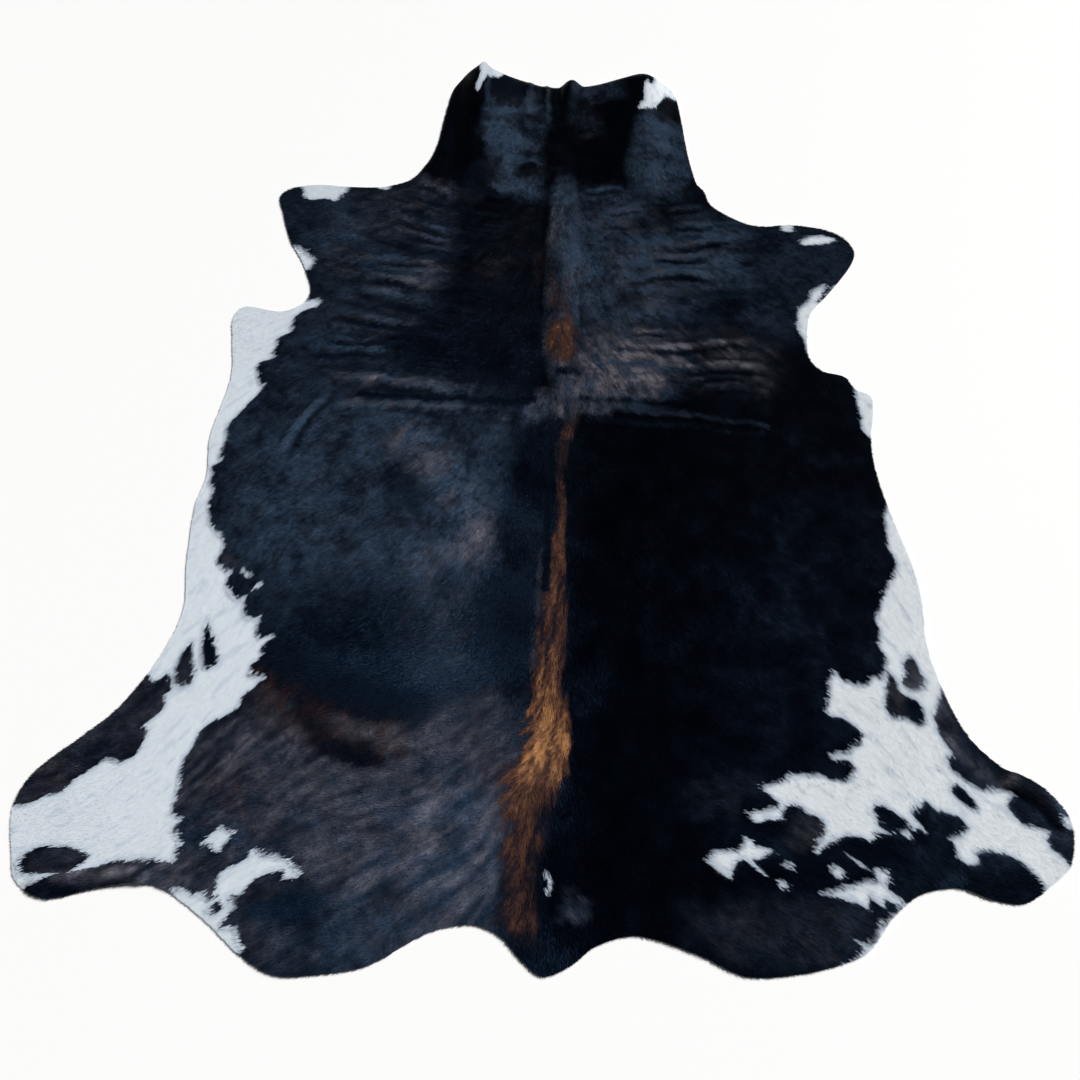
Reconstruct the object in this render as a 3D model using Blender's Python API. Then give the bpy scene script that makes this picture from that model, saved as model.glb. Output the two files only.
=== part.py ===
"""A cowhide rug: one whole hide with its hair on, lying flesh side down on a floor.

Lengths are in metres and +Z is up. The hide is drawn on its own backbone: x runs
across it, y runs along it from the tail (-) to the neck (+), and (0, 0) is where the
backbone crosses the fold across the middle. The finished rug is then set with the
middle of its bounding box over the origin and its flesh side on z = 0.
"""

from collections import namedtuple

import bpy
import numpy as np
from mathutils import Vector
from mathutils.geometry import delaunay_2d_cdt

# Driving dimensions
THICKNESS = 0.004  # 2 mm of leather, and the coat that lies on it
EDGE_STEP = 0.024  # spacing of points round the cut edge
FIELD_STEP = 0.062  # spacing of points inside, where the hide only swells gently
RUN_STEP = 1.7  # spacing of points along a fold, in its half widths
NEAREST = 0.38  # points closer than this share of the finer spacing are dropped
FOLD_ROWS = (-1.0, -0.5, 0.0, 0.5, 1.0)  # rows of points across a fold, in half widths
EDGE_CLEARANCE = 0.006  # inner points stay this far from the cut edge

COAT_COLOUR = (0.013, 0.015, 0.021, 1.0)
COAT_ROUGHNESS = 0.5

# The cut edge, clockwise from the left corner of the neck, in named stretches.
# Each holds only the turning points of its stretch, and a smooth curve joins them.
EDGE = {
    "neck end": (
        (-0.326, 1.075), (-0.300, 1.112), (-0.262, 1.128), (-0.244, 1.142),
        (-0.222, 1.118), (-0.175, 1.096), (-0.100, 1.090), (-0.032, 1.085),
        (0.010, 1.092), (0.060, 1.092), (0.150, 1.098), (0.205, 1.108),
        (0.262, 1.088), (0.290, 1.072),
    ),
    "right side of neck": (
        (0.302, 1.030), (0.312, 0.930), (0.323, 0.810), (0.340, 0.706),
        (0.357, 0.680), (0.376, 0.622),
    ),
    "right foreleg": (
        (0.450, 0.566), (0.505, 0.554), (0.565, 0.563), (0.650, 0.549),
        (0.700, 0.519), (0.721, 0.470), (0.700, 0.416), (0.638, 0.328),
        (0.592, 0.270), (0.578, 0.215), (0.573, 0.135), (0.597, 0.096),
    ),
    "right flank": (
        (0.648, 0.080), (0.666, 0.046), (0.700, 0.026), (0.697, -0.030),
        (0.685, -0.085), (0.682, -0.160), (0.694, -0.255), (0.724, -0.395),
        (0.731, -0.480), (0.725, -0.570),
    ),
    "right hind leg": (
        (0.740, -0.662), (0.768, -0.743), (0.818, -0.801), (0.858, -0.818),
        (0.896, -0.852), (0.923, -0.897), (0.905, -0.966), (0.860, -1.004),
        (0.812, -1.032), (0.760, -1.029), (0.705, -1.012), (0.640, -1.024),
        (0.590, -1.060), (0.540, -1.115), (0.500, -1.134),
    ),
    "rump and tail": (
        (0.430, -1.152), (0.335, -1.160), (0.255, -1.130), (0.158, -1.106),
        (0.090, -1.124), (0.048, -1.155), (0.002, -1.172), (-0.034, -1.149),
        (-0.070, -1.115), (-0.120, -1.099), (-0.190, -1.114), (-0.280, -1.165),
        (-0.350, -1.181), (-0.435, -1.186), (-0.500, -1.156),
    ),
    "left hind leg": (
        (-0.575, -1.102), (-0.660, -1.058), (-0.740, -1.061), (-0.840, -1.085),
        (-0.900, -1.060), (-0.922, -1.015), (-0.944, -0.940), (-0.925, -0.876),
        (-0.850, -0.800), (-0.800, -0.745), (-0.752, -0.650),
    ),
    "left flank": (
        (-0.729, -0.550), (-0.745, -0.450), (-0.758, -0.318), (-0.750, -0.235),
        (-0.764, -0.135), (-0.751, 0.025), (-0.770, 0.135), (-0.782, 0.198),
        (-0.762, 0.240), (-0.672, 0.228), (-0.622, 0.258),
    ),
    "left foreleg": (
        (-0.611, 0.300), (-0.645, 0.385), (-0.690, 0.465), (-0.726, 0.565),
        (-0.742, 0.620), (-0.712, 0.650), (-0.650, 0.666), (-0.560, 0.661),
        (-0.480, 0.664), (-0.412, 0.692),
    ),
    "left side of neck": (
        (-0.384, 0.735), (-0.355, 0.815), (-0.344, 0.920), (-0.337, 1.000),
    ),
}

# Broad swells, where the hide stands a little off the floor: centre, reach along
# x and y, and height.
Swell = namedtuple("Swell", "x y reach_x reach_y high")
SWELLS = {
    "back, neck half": Swell(0.010, 0.330, 0.330, 0.350, 0.015),
    "left of the back, tail half": Swell(-0.270, -0.350, 0.300, 0.360, 0.013),
    "right of the back, tail half": Swell(0.290, -0.370, 0.290, 0.360, 0.013),
    "left rump": Swell(-0.240, -0.900, 0.230, 0.190, 0.007),
    "right rump": Swell(0.240, -0.900, 0.210, 0.180, 0.007),
}

# Creases, where those swells come back down to the floor: two ends, sideways bow at
# the middle, and half width.
Crease = namedtuple("Crease", "x0 y0 x1 y1 bow wide")
CREASES = {
    "backbone behind the middle": Crease(0.012, -0.040, 0.030, -0.760, 0.0, 0.055),
    "backbone to the tail": Crease(0.030, -0.760, 0.000, -1.120, 0.0, 0.055),
    "across, left": Crease(-0.530, -0.006, -0.010, -0.034, 0.006, 0.034),
    "across, right": Crease(-0.010, -0.034, 0.460, -0.034, 0.004, 0.034),
}

# Folds, where the hide stands up in a ridge: two ends, sideways bow at the middle,
# half width to the left and right of the way from the first end, height at each end.
Fold = namedtuple("Fold", "x0 y0 x1 y1 bow left right high0 high1")
FOLDS = {
    # waves that run down the neck
    "neck, left wave": Fold(-0.246, 1.145, -0.236, 0.750, 0.0, 0.190, 0.082, 0.036, 0.013),
    "neck, right wave": Fold(0.212, 1.110, 0.205, 0.760, 0.0, 0.100, 0.190, 0.034, 0.013),
    "neck, middle pleat": Fold(0.006, 1.100, 0.000, 0.960, 0.0, 0.036, 0.034, 0.024, 0.003),
    # the backbone, neck half
    "backbone": Fold(-0.018, 0.690, 0.000, 0.020, 0.0, 0.055, 0.050, 0.007, 0.008),
    # the lips of the fold across the middle
    "left lip, neck side": Fold(-0.500, 0.028, -0.205, 0.008, 0.004, 0.022, 0.030, 0.006, 0.005),
    "left lip, tail side": Fold(-0.460, -0.046, -0.230, -0.052, 0.0, 0.024, 0.022, 0.004, 0.004),
    "right lip": Fold(0.060, -0.052, 0.440, -0.082, 0.006, 0.022, 0.020, 0.005, 0.003),
    # wrinkles of the left shoulder
    "left wrinkle 1": Fold(-0.245, 0.712, -0.150, 0.642, 0.0, 0.020, 0.020, 0.004, 0.005),
    "left wrinkle 2": Fold(-0.392, 0.676, -0.285, 0.622, 0.006, 0.022, 0.022, 0.005, 0.006),
    "left wrinkle 3": Fold(-0.425, 0.596, -0.318, 0.556, 0.0, 0.018, 0.018, 0.004, 0.004),
    "left wrinkle 4": Fold(-0.430, 0.548, -0.292, 0.492, 0.0, 0.018, 0.018, 0.004, 0.005),
    "left wrinkle 5": Fold(-0.410, 0.500, -0.285, 0.462, -0.004, 0.018, 0.018, 0.004, 0.005),
    "left wrinkle 6": Fold(-0.500, 0.402, -0.312, 0.388, 0.006, 0.022, 0.022, 0.004, 0.005),
    "left wrinkle 7": Fold(-0.555, 0.356, -0.335, 0.318, 0.0, 0.022, 0.022, 0.004, 0.006),
    "left wrinkle 8": Fold(-0.500, 0.302, -0.300, 0.246, 0.0, 0.019, 0.019, 0.005, 0.005),
    "left wrinkle 9": Fold(-0.590, 0.212, -0.255, 0.164, 0.016, 0.020, 0.020, 0.004, 0.005),
    "left wrinkle 10": Fold(-0.600, 0.112, -0.385, 0.102, 0.005, 0.022, 0.022, 0.005, 0.004),
    "left wrinkle 11": Fold(-0.590, -0.108, -0.528, 0.000, 0.0, 0.020, 0.020, 0.004, 0.005),
    # wrinkles of the right shoulder
    "right wrinkle 1": Fold(0.045, 0.660, 0.155, 0.674, 0.0, 0.016, 0.016, 0.004, 0.004),
    "right wrinkle 2": Fold(0.245, 0.598, 0.360, 0.618, 0.0, 0.019, 0.019, 0.004, 0.005),
    "right wrinkle 3": Fold(0.265, 0.540, 0.372, 0.560, 0.0, 0.018, 0.018, 0.004, 0.004),
    "right wrinkle 4": Fold(0.285, 0.470, 0.425, 0.508, 0.0, 0.020, 0.020, 0.005, 0.004),
    "right wrinkle 5": Fold(0.190, 0.428, 0.370, 0.446, 0.0, 0.018, 0.018, 0.004, 0.005),
    "right wrinkle 6": Fold(0.150, 0.352, 0.375, 0.384, 0.012, 0.022, 0.022, 0.005, 0.005),
    "right wrinkle 7": Fold(0.200, 0.138, 0.460, 0.168, 0.010, 0.020, 0.020, 0.006, 0.004),
    "right wrinkle 8": Fold(0.280, 0.084, 0.482, 0.096, 0.009, 0.022, 0.022, 0.006, 0.004),
    "right wrinkle 9": Fold(0.300, 0.032, 0.440, 0.036, 0.004, 0.018, 0.018, 0.004, 0.004),
    # lifted edges of the hind legs
    "right hock": Fold(0.836, -0.822, 0.900, -0.880, 0.010, 0.022, 0.030, 0.007, 0.008),
    "left hock": Fold(-0.860, -1.062, -0.690, -1.046, 0.010, 0.022, 0.030, 0.005, 0.006),
}


def clear_scene():
    """Starts from an empty scene."""
    for thing in list(bpy.data.objects):
        bpy.data.objects.remove(thing, do_unlink=True)


def smooth_loop(points, step):
    """A closed Catmull-Rom curve through the points, cut at about even steps."""
    points = np.array(points)
    before, after, beyond = (np.roll(points, shift, axis=0) for shift in (1, -1, -2))
    spans = np.linalg.norm(after - points, axis=1)
    pieces = []
    for p0, p1, p2, p3, span in zip(before, points, after, beyond, spans):
        t = np.arange(max(1, round(span / step)))[:, None] / max(1, round(span / step))
        start, end = (p2 - p0) / 2, (p3 - p1) / 2
        # a tangent no longer than its own span keeps short spans from looping
        start *= min(1.0, span / (np.linalg.norm(start) + 1e-9))
        end *= min(1.0, span / (np.linalg.norm(end) + 1e-9))
        pieces.append(
            (2 * t**3 - 3 * t**2 + 1) * p1
            + (t**3 - 2 * t**2 + t) * start
            + (3 * t**2 - 2 * t**3) * p2
            + (t**3 - t**2) * end
        )
    return np.concatenate(pieces)


def bump(ratio):
    """A soft hump that is 1 at ratio 0 and reaches 0, level, at ratio 1."""
    return np.clip(1 - ratio**2, 0, None) ** 2


def along_and_off(x, y, line):
    """How far along a bowed line each point lies (0 to 1), and how far off it.

    The third result is the distance to the left of the line, without its ends.
    """
    run = np.array((line.x1 - line.x0, line.y1 - line.y0))
    length = np.hypot(*run)
    way = run / length
    t = ((x - line.x0) * way[0] + (y - line.y0) * way[1]) / length
    held = np.clip(t, 0, 1)
    left = (y - line.y0) * way[0] - (x - line.x0) * way[1]
    left = left - line.bow * np.sin(np.pi * held)
    past_end = (t - held) * length
    return held, past_end, left


def height(x, y):
    """Height of the flesh side over the floor at each point.

    Swells are added up, creases bring them back to the floor, and folds stand on top.
    """
    total = np.zeros_like(x)
    for swell in SWELLS.values():
        ratio = np.hypot((x - swell.x) / swell.reach_x, (y - swell.y) / swell.reach_y)
        total += swell.high * bump(ratio)
    for crease in CREASES.values():
        _, past_end, left = along_and_off(x, y, crease)
        total *= 1 - bump(np.hypot(past_end, left) / crease.wide)
    for fold in FOLDS.values():
        held, past_end, left = along_and_off(x, y, fold)
        wide = np.where(left > 0, fold.left, fold.right)
        round_end = min(fold.left, fold.right)
        high = fold.high0 + (fold.high1 - fold.high0) * held
        total += high * bump(np.hypot(past_end / round_end, left / wide))
    return total


def rows_beside(line, left, right):
    """Points in rows along a bowed line, out to its half width on each side."""
    run = np.array((line.x1 - line.x0, line.y1 - line.y0))
    length = np.hypot(*run)
    way = run / length
    side = np.array((-way[1], way[0]))
    narrow = min(left, right)
    count = max(2, round((length + 2 * narrow) / (RUN_STEP * narrow)))
    along = np.linspace(-narrow, length + narrow, count + 1)
    bow = line.bow * np.sin(np.pi * np.clip(along / length, 0, 1))
    rows = []
    for share in FOLD_ROWS:
        off = bow + share * (left if share > 0 else right)
        rows.append((line.x0, line.y0) + along[:, None] * way + off[:, None] * side)
    return np.concatenate(rows), narrow / 2


def field_points(low, high):
    """Points of an even triangular net, kept where the hide is off the floor."""
    row_step = FIELD_STEP * np.sqrt(3) / 2
    rows = int((high[1] - low[1]) / row_step) + 1
    columns = int((high[0] - low[0]) / FIELD_STEP) + 1
    row, column = np.mgrid[0:rows, 0:columns]
    x = low[0] + (column + 0.5 * (row % 2)) * FIELD_STEP
    y = low[1] + row * row_step
    points = np.column_stack((x.ravel(), y.ravel()))
    off_floor = height(points[:, 0], points[:, 1]) > 0
    return points[off_floor]


def inside(points, loop):
    """Which points lie inside the closed loop, by counting crossings."""
    x, y = points[:, :1], points[:, 1:]
    ahead = np.roll(loop, -1, axis=0)
    spans = (loop[:, 1] > y) != (ahead[:, 1] > y)
    rise = ahead[:, 1] - loop[:, 1]
    slope = (ahead[:, 0] - loop[:, 0]) / np.where(rise == 0, 1, rise)
    return (spans & (x < loop[:, 0] + (y - loop[:, 1]) * slope)).sum(axis=1) % 2 == 1


def inner_points(loop):
    """Points of every crease and fold, then of the field, none crowding another."""
    groups = [rows_beside(fold, fold.left, fold.right) for fold in FOLDS.values()]
    groups += [rows_beside(crease, crease.wide, crease.wide) for crease in CREASES.values()]
    groups.sort(key=lambda group: group[1])
    groups.append((field_points(loop.min(axis=0), loop.max(axis=0)), FIELD_STEP))
    kept = np.empty((0, 2))
    for points, spacing in groups:
        points = points[inside(points, loop)]
        to_edge = np.linalg.norm(points[:, None] - loop, axis=2).min(axis=1)
        for point in points[to_edge > max(EDGE_CLEARANCE, NEAREST * spacing)]:
            if len(kept) == 0 or np.linalg.norm(kept - point, axis=1).min() > NEAREST * spacing:
                kept = np.vstack((kept, point))
    return kept


def hide_sheet(name):
    """The flesh side as one sheet: the cut edge and the inner points, made triangles."""
    corners = [corner for stretch in EDGE.values() for corner in stretch]
    loop = smooth_loop(corners, EDGE_STEP)
    flat = np.vstack((loop, inner_points(loop)))
    rim = [(i, (i + 1) % len(loop)) for i in range(len(loop))]
    found = delaunay_2d_cdt([Vector(point) for point in flat], rim, [], 1, 1e-7)
    points = np.array([tuple(point) for point in found[0]])
    middle = (loop.min(axis=0) + loop.max(axis=0)) / 2
    tops = np.column_stack((points - middle, height(points[:, 0], points[:, 1])))
    mesh = bpy.data.meshes.new(name)
    mesh.from_pydata(tops.tolist(), [], found[2])
    mesh.shade_smooth()
    hide = bpy.data.objects.new(name, mesh)
    bpy.context.scene.collection.objects.link(hide)
    return hide


def give_thickness(hide):
    """Leather and coat stand up from the flesh side by the hide's thickness."""
    solid = hide.modifiers.new("thickness", "SOLIDIFY")
    solid.thickness = THICKNESS
    solid.offset = 1.0
    solid.use_even_offset = True
    solid.use_rim = True


def coat_material():
    """Short black hair with a soft gloss."""
    material = bpy.data.materials.new("coat")
    material.use_nodes = True
    shader = material.node_tree.nodes["Principled BSDF"]
    shader.inputs["Base Color"].default_value = COAT_COLOUR
    shader.inputs["Roughness"].default_value = COAT_ROUGHNESS
    shader.inputs["Metallic"].default_value = 0.0
    return material


clear_scene()
cowhide = hide_sheet("cowhide")
give_thickness(cowhide)
cowhide.data.materials.append(coat_material())
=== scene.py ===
# %% [markdown]
# # A cowhide rug, hair side up
#
# A hide rug is one whole cow skin, tanned with its hair left on. It has no weave, no hem and
# no backing: its outline is where a knife went round the neck, the legs, the flanks and the
# tail. So the rug is made here as it grows: a sheet of leather with its folds, an undercoat
# on top of it, and then the coat itself, hair by hair, combed the way it lay on the animal.
#
# The solid made before holds the size and the main folds. This script loads it as a fixed
# frame and dresses it.

# %% Load the frame
from collections import namedtuple

import bpy
import numpy as np
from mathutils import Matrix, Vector
from mathutils.geometry import delaunay_2d_cdt


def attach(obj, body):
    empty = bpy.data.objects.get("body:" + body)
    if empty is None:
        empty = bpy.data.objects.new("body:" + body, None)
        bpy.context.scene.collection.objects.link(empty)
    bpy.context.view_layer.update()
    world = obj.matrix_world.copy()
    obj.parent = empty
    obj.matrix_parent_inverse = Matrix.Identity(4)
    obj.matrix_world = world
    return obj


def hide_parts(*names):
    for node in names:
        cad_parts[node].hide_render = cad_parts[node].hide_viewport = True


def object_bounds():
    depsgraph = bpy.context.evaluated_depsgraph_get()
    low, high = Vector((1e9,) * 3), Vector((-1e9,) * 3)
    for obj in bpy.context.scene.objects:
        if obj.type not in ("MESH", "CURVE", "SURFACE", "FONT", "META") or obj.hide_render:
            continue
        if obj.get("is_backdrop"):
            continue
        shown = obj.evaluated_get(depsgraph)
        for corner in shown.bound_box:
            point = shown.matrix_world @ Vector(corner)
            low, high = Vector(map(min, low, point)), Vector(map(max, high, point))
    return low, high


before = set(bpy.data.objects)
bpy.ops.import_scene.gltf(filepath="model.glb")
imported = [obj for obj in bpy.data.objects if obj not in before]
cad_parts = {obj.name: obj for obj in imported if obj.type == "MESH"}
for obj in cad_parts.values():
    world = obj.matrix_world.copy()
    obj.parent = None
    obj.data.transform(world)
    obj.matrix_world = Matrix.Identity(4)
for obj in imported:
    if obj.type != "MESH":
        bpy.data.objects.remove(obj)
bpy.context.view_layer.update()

# %% [markdown]
# ## Camera
#
# The rug is seen by somebody who stands at its tail end and looks steeply down at it. A wide
# view from close by makes the near end of the rug look much wider than the far end, so the
# height, the tilt and the lens belong together: each alone would give a wrong outline.

# %% Camera
CAMERA_PLACE = (0.0105, -1.1926, 1.597)
CAMERA_TILT = np.radians(28.0)  # from straight down
CAMERA_HEADING = np.radians(2.11)  # a little to the left of the backbone
LENS = 29.24  # mm
PICTURE_WIDE = 36.0  # mm, behind that lens; the picture is square

scene = bpy.context.scene
camera_data = bpy.data.cameras.new("camera")
camera_data.lens = LENS
camera_data.sensor_width = PICTURE_WIDE
camera = bpy.data.objects.new("camera", camera_data)
camera.location = CAMERA_PLACE
camera.rotation_euler = (CAMERA_TILT, 0.0, CAMERA_HEADING)
scene.collection.objects.link(camera)
scene.camera = camera
print("camera", round(CAMERA_PLACE[2], 2), "m above the floor")

# %% [markdown]
# ## Floor and light
#
# Black hair shows only by its gloss, so the light matters more than the colour. Hair that
# lies flat is like a roof of tiny shingles: each one leans back a little towards its root.
# A large soft light from the right and from the neck end meets the shingles of the left
# side and of the neck face on, and slides over those of the right side. That is why one
# half of a real hide looks grey and the other jet black under a window.

# %% Floor and light
WINDOW_PLACE = (2.4, 1.6, 2.6)
WINDOW_SPREAD = 20.0  # degrees of sky that the window fills
WINDOW_POWER = 4.5
WINDOW_COLOUR = (1.0, 0.99, 0.98)
SKY_COLOUR = (0.80, 0.88, 1.0, 1.0)
SKY_POWER = 0.05
FLOOR_COLOUR = (0.98, 0.98, 0.98, 1.0)
FLOOR_ROUGH = 0.8
FLOOR_HALF = 9.0  # half of its side, in metres
FLOOR_LEVEL = -0.0004  # a hair's breadth under the hide, so that the two faces don't fight


def plain_material(name, colour, roughness):
    """A material with one colour and one roughness, for what isn't part of the rug."""
    material = bpy.data.materials.new(name)
    material.use_nodes = True
    shader = material.node_tree.nodes["Principled BSDF"]
    shader.inputs["Base Color"].default_value = colour
    shader.inputs["Roughness"].default_value = roughness
    return material


def far_light(name, towards, spread, power, colour):
    """A lamp so far off that it lights the whole floor evenly; its spread makes it soft."""
    lamp = bpy.data.lights.new(name, "SUN")
    lamp.angle = np.radians(spread)
    lamp.energy = power
    lamp.color = colour
    lamp_object = bpy.data.objects.new(name, lamp)
    lamp_object.location = towards
    lamp_object.rotation_euler = Vector(towards).to_track_quat("Z", "Y").to_euler()
    scene.collection.objects.link(lamp_object)


floor_mesh = bpy.data.meshes.new("floor")
corners = FLOOR_HALF * np.array(((-1, -1), (1, -1), (1, 1), (-1, 1)))
floor_mesh.from_pydata([(x, y, FLOOR_LEVEL) for x, y in corners], [], [(0, 1, 2, 3)])
floor_mesh.materials.append(plain_material("plain_floor", FLOOR_COLOUR, FLOOR_ROUGH))
floor = bpy.data.objects.new("floor", floor_mesh)
scene.collection.objects.link(floor)

world = bpy.data.worlds.new("pale_room")
world.use_nodes = True
sky = world.node_tree.nodes["Background"]
sky.inputs["Color"].default_value = SKY_COLOUR
sky.inputs["Strength"].default_value = SKY_POWER
scene.world = world
scene.view_settings.view_transform = "Standard"

far_light("window", WINDOW_PLACE, WINDOW_SPREAD, WINDOW_POWER, WINDOW_COLOUR)
print("one window light and a pale room")

# %% [markdown]
# ## The cut edge
#
# The outline is drawn on the hide's own backbone: x runs across it, y runs along it from the
# tail to the neck, and (0, 0) is where the backbone crosses the fold across the middle. Only
# the turning points are kept, in named stretches, and a smooth curve joins them. The same
# points shape the solid underneath.

# %% The cut edge
EDGE = {
    "neck end": (
        (-0.326, 1.075), (-0.300, 1.112), (-0.262, 1.128), (-0.244, 1.142), (-0.222, 1.118),
        (-0.175, 1.096), (-0.100, 1.090), (-0.032, 1.085), (0.010, 1.092), (0.060, 1.092),
        (0.150, 1.098), (0.205, 1.108), (0.262, 1.088), (0.290, 1.072),
    ),
    "right side of neck": (
        (0.302, 1.030), (0.312, 0.930), (0.323, 0.810), (0.340, 0.706), (0.357, 0.680),
        (0.376, 0.622),
    ),
    "right foreleg": (
        (0.450, 0.566), (0.505, 0.554), (0.565, 0.563), (0.650, 0.549), (0.700, 0.519),
        (0.721, 0.470), (0.700, 0.416), (0.638, 0.328), (0.592, 0.270), (0.578, 0.215),
        (0.573, 0.135), (0.597, 0.096),
    ),
    "right flank": (
        (0.648, 0.080), (0.666, 0.046), (0.700, 0.026), (0.697, -0.030), (0.685, -0.085),
        (0.682, -0.160), (0.694, -0.255), (0.724, -0.395), (0.731, -0.480), (0.725, -0.570),
    ),
    "right hind leg": (
        (0.740, -0.662), (0.768, -0.743), (0.818, -0.801), (0.858, -0.818), (0.896, -0.852),
        (0.923, -0.897), (0.905, -0.966), (0.860, -1.004), (0.812, -1.032), (0.760, -1.029),
        (0.705, -1.012), (0.640, -1.024), (0.590, -1.060), (0.540, -1.115), (0.500, -1.134),
    ),
    "rump and tail": (
        (0.430, -1.152), (0.335, -1.160), (0.255, -1.130), (0.158, -1.106), (0.090, -1.124),
        (0.048, -1.155), (0.002, -1.172), (-0.034, -1.149), (-0.070, -1.115), (-0.120, -1.099),
        (-0.190, -1.114), (-0.280, -1.165), (-0.350, -1.181), (-0.435, -1.186), (-0.500, -1.156),
    ),
    "left hind leg": (
        (-0.575, -1.102), (-0.660, -1.058), (-0.740, -1.061), (-0.840, -1.085), (-0.900, -1.060),
        (-0.922, -1.015), (-0.944, -0.940), (-0.925, -0.876), (-0.850, -0.800), (-0.800, -0.745),
        (-0.752, -0.650),
    ),
    "left flank": (
        (-0.729, -0.550), (-0.745, -0.450), (-0.758, -0.318), (-0.750, -0.235), (-0.764, -0.135),
        (-0.751, 0.025), (-0.770, 0.135), (-0.782, 0.198), (-0.762, 0.240), (-0.672, 0.228),
        (-0.622, 0.258),
    ),
    "left foreleg": (
        (-0.611, 0.300), (-0.645, 0.385), (-0.690, 0.465), (-0.726, 0.565), (-0.742, 0.620),
        (-0.712, 0.650), (-0.650, 0.666), (-0.560, 0.661), (-0.480, 0.664), (-0.412, 0.692),
    ),
    "left side of neck": (
        (-0.384, 0.735), (-0.355, 0.815), (-0.344, 0.920), (-0.337, 1.000),
    ),
}
EDGE_STEP = 0.006  # metres between the points of the finished curve


def smooth_loop(points, step):
    """A closed smooth curve through the points, cut at about even steps.

    Each span is a cubic whose slope at a point is half the way from the point before it to the
    point after it: (2t^3 - 3t^2 + 1) p1 + (t^3 - 2t^2 + t) start + (3t^2 - 2t^3) p2
    + (t^3 - t^2) end, with t from 0 to 1.
    """
    points = np.array(points)
    before, after, beyond = (np.roll(points, shift, axis=0) for shift in (1, -1, -2))
    spans = np.linalg.norm(after - points, axis=1)
    pieces = []
    for p0, p1, p2, p3, span in zip(before, points, after, beyond, spans):
        cuts = max(1, round(span / step))
        t = np.arange(cuts)[:, None] / cuts
        start, end = (p2 - p0) / 2, (p3 - p1) / 2
        # a tangent no longer than its own span keeps short spans from looping
        start *= min(1.0, span / (np.linalg.norm(start) + 1e-9))
        end *= min(1.0, span / (np.linalg.norm(end) + 1e-9))
        pieces.append(
            (2 * t**3 - 3 * t**2 + 1) * p1
            + (t**3 - 2 * t**2 + t) * start
            + (3 * t**2 - 2 * t**3) * p2
            + (t**3 - t**2) * end
        )
    return np.concatenate(pieces)


outline = smooth_loop([corner for stretch in EDGE.values() for corner in stretch], EDGE_STEP)
middle = (outline.min(axis=0) + outline.max(axis=0)) / 2
print(len(outline), "points round the edge; the rug's middle is at", middle.round(4))

# %% [markdown]
# ## How the hide lies
#
# Leather of 2 mm is stiff enough to stand in long low waves and limp enough to wrinkle at the
# shoulders, where the animal's skin moved most. A cloth simulation would not know where those
# folds are, so they are listed one by one: broad swells, creases that bring them back to the
# floor, and narrow folds on top. Each is a soft hump, so their sum has no edge anywhere.

# %% Swells and creases
# A swell has its middle, its reach to each side and its height. A crease has its two ends, how
# far it bows out to the left between them, and its half width.
Swell = namedtuple("Swell", "x y reach_x reach_y high")
SWELLS = {
    "back, neck half": Swell(0.010, 0.330, 0.330, 0.350, 0.015),
    "left of the back, tail half": Swell(-0.270, -0.350, 0.300, 0.360, 0.013),
    "right of the back, tail half": Swell(0.290, -0.370, 0.290, 0.360, 0.013),
    "left rump": Swell(-0.240, -0.900, 0.230, 0.190, 0.007),
    "right rump": Swell(0.240, -0.900, 0.210, 0.180, 0.007),
}

Crease = namedtuple("Crease", "x0 y0 x1 y1 bow wide")
CREASES = {
    "backbone behind the middle": Crease(0.012, -0.040, 0.030, -0.760, 0.0, 0.055),
    "backbone to the tail": Crease(0.030, -0.760, 0.000, -1.120, 0.0, 0.055),
    "across, left": Crease(-0.530, -0.006, -0.010, -0.034, 0.006, 0.034),
    "across, right": Crease(-0.010, -0.034, 0.460, -0.034, 0.004, 0.034),
}
print(len(SWELLS), "swells and", len(CREASES), "creases")

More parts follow.
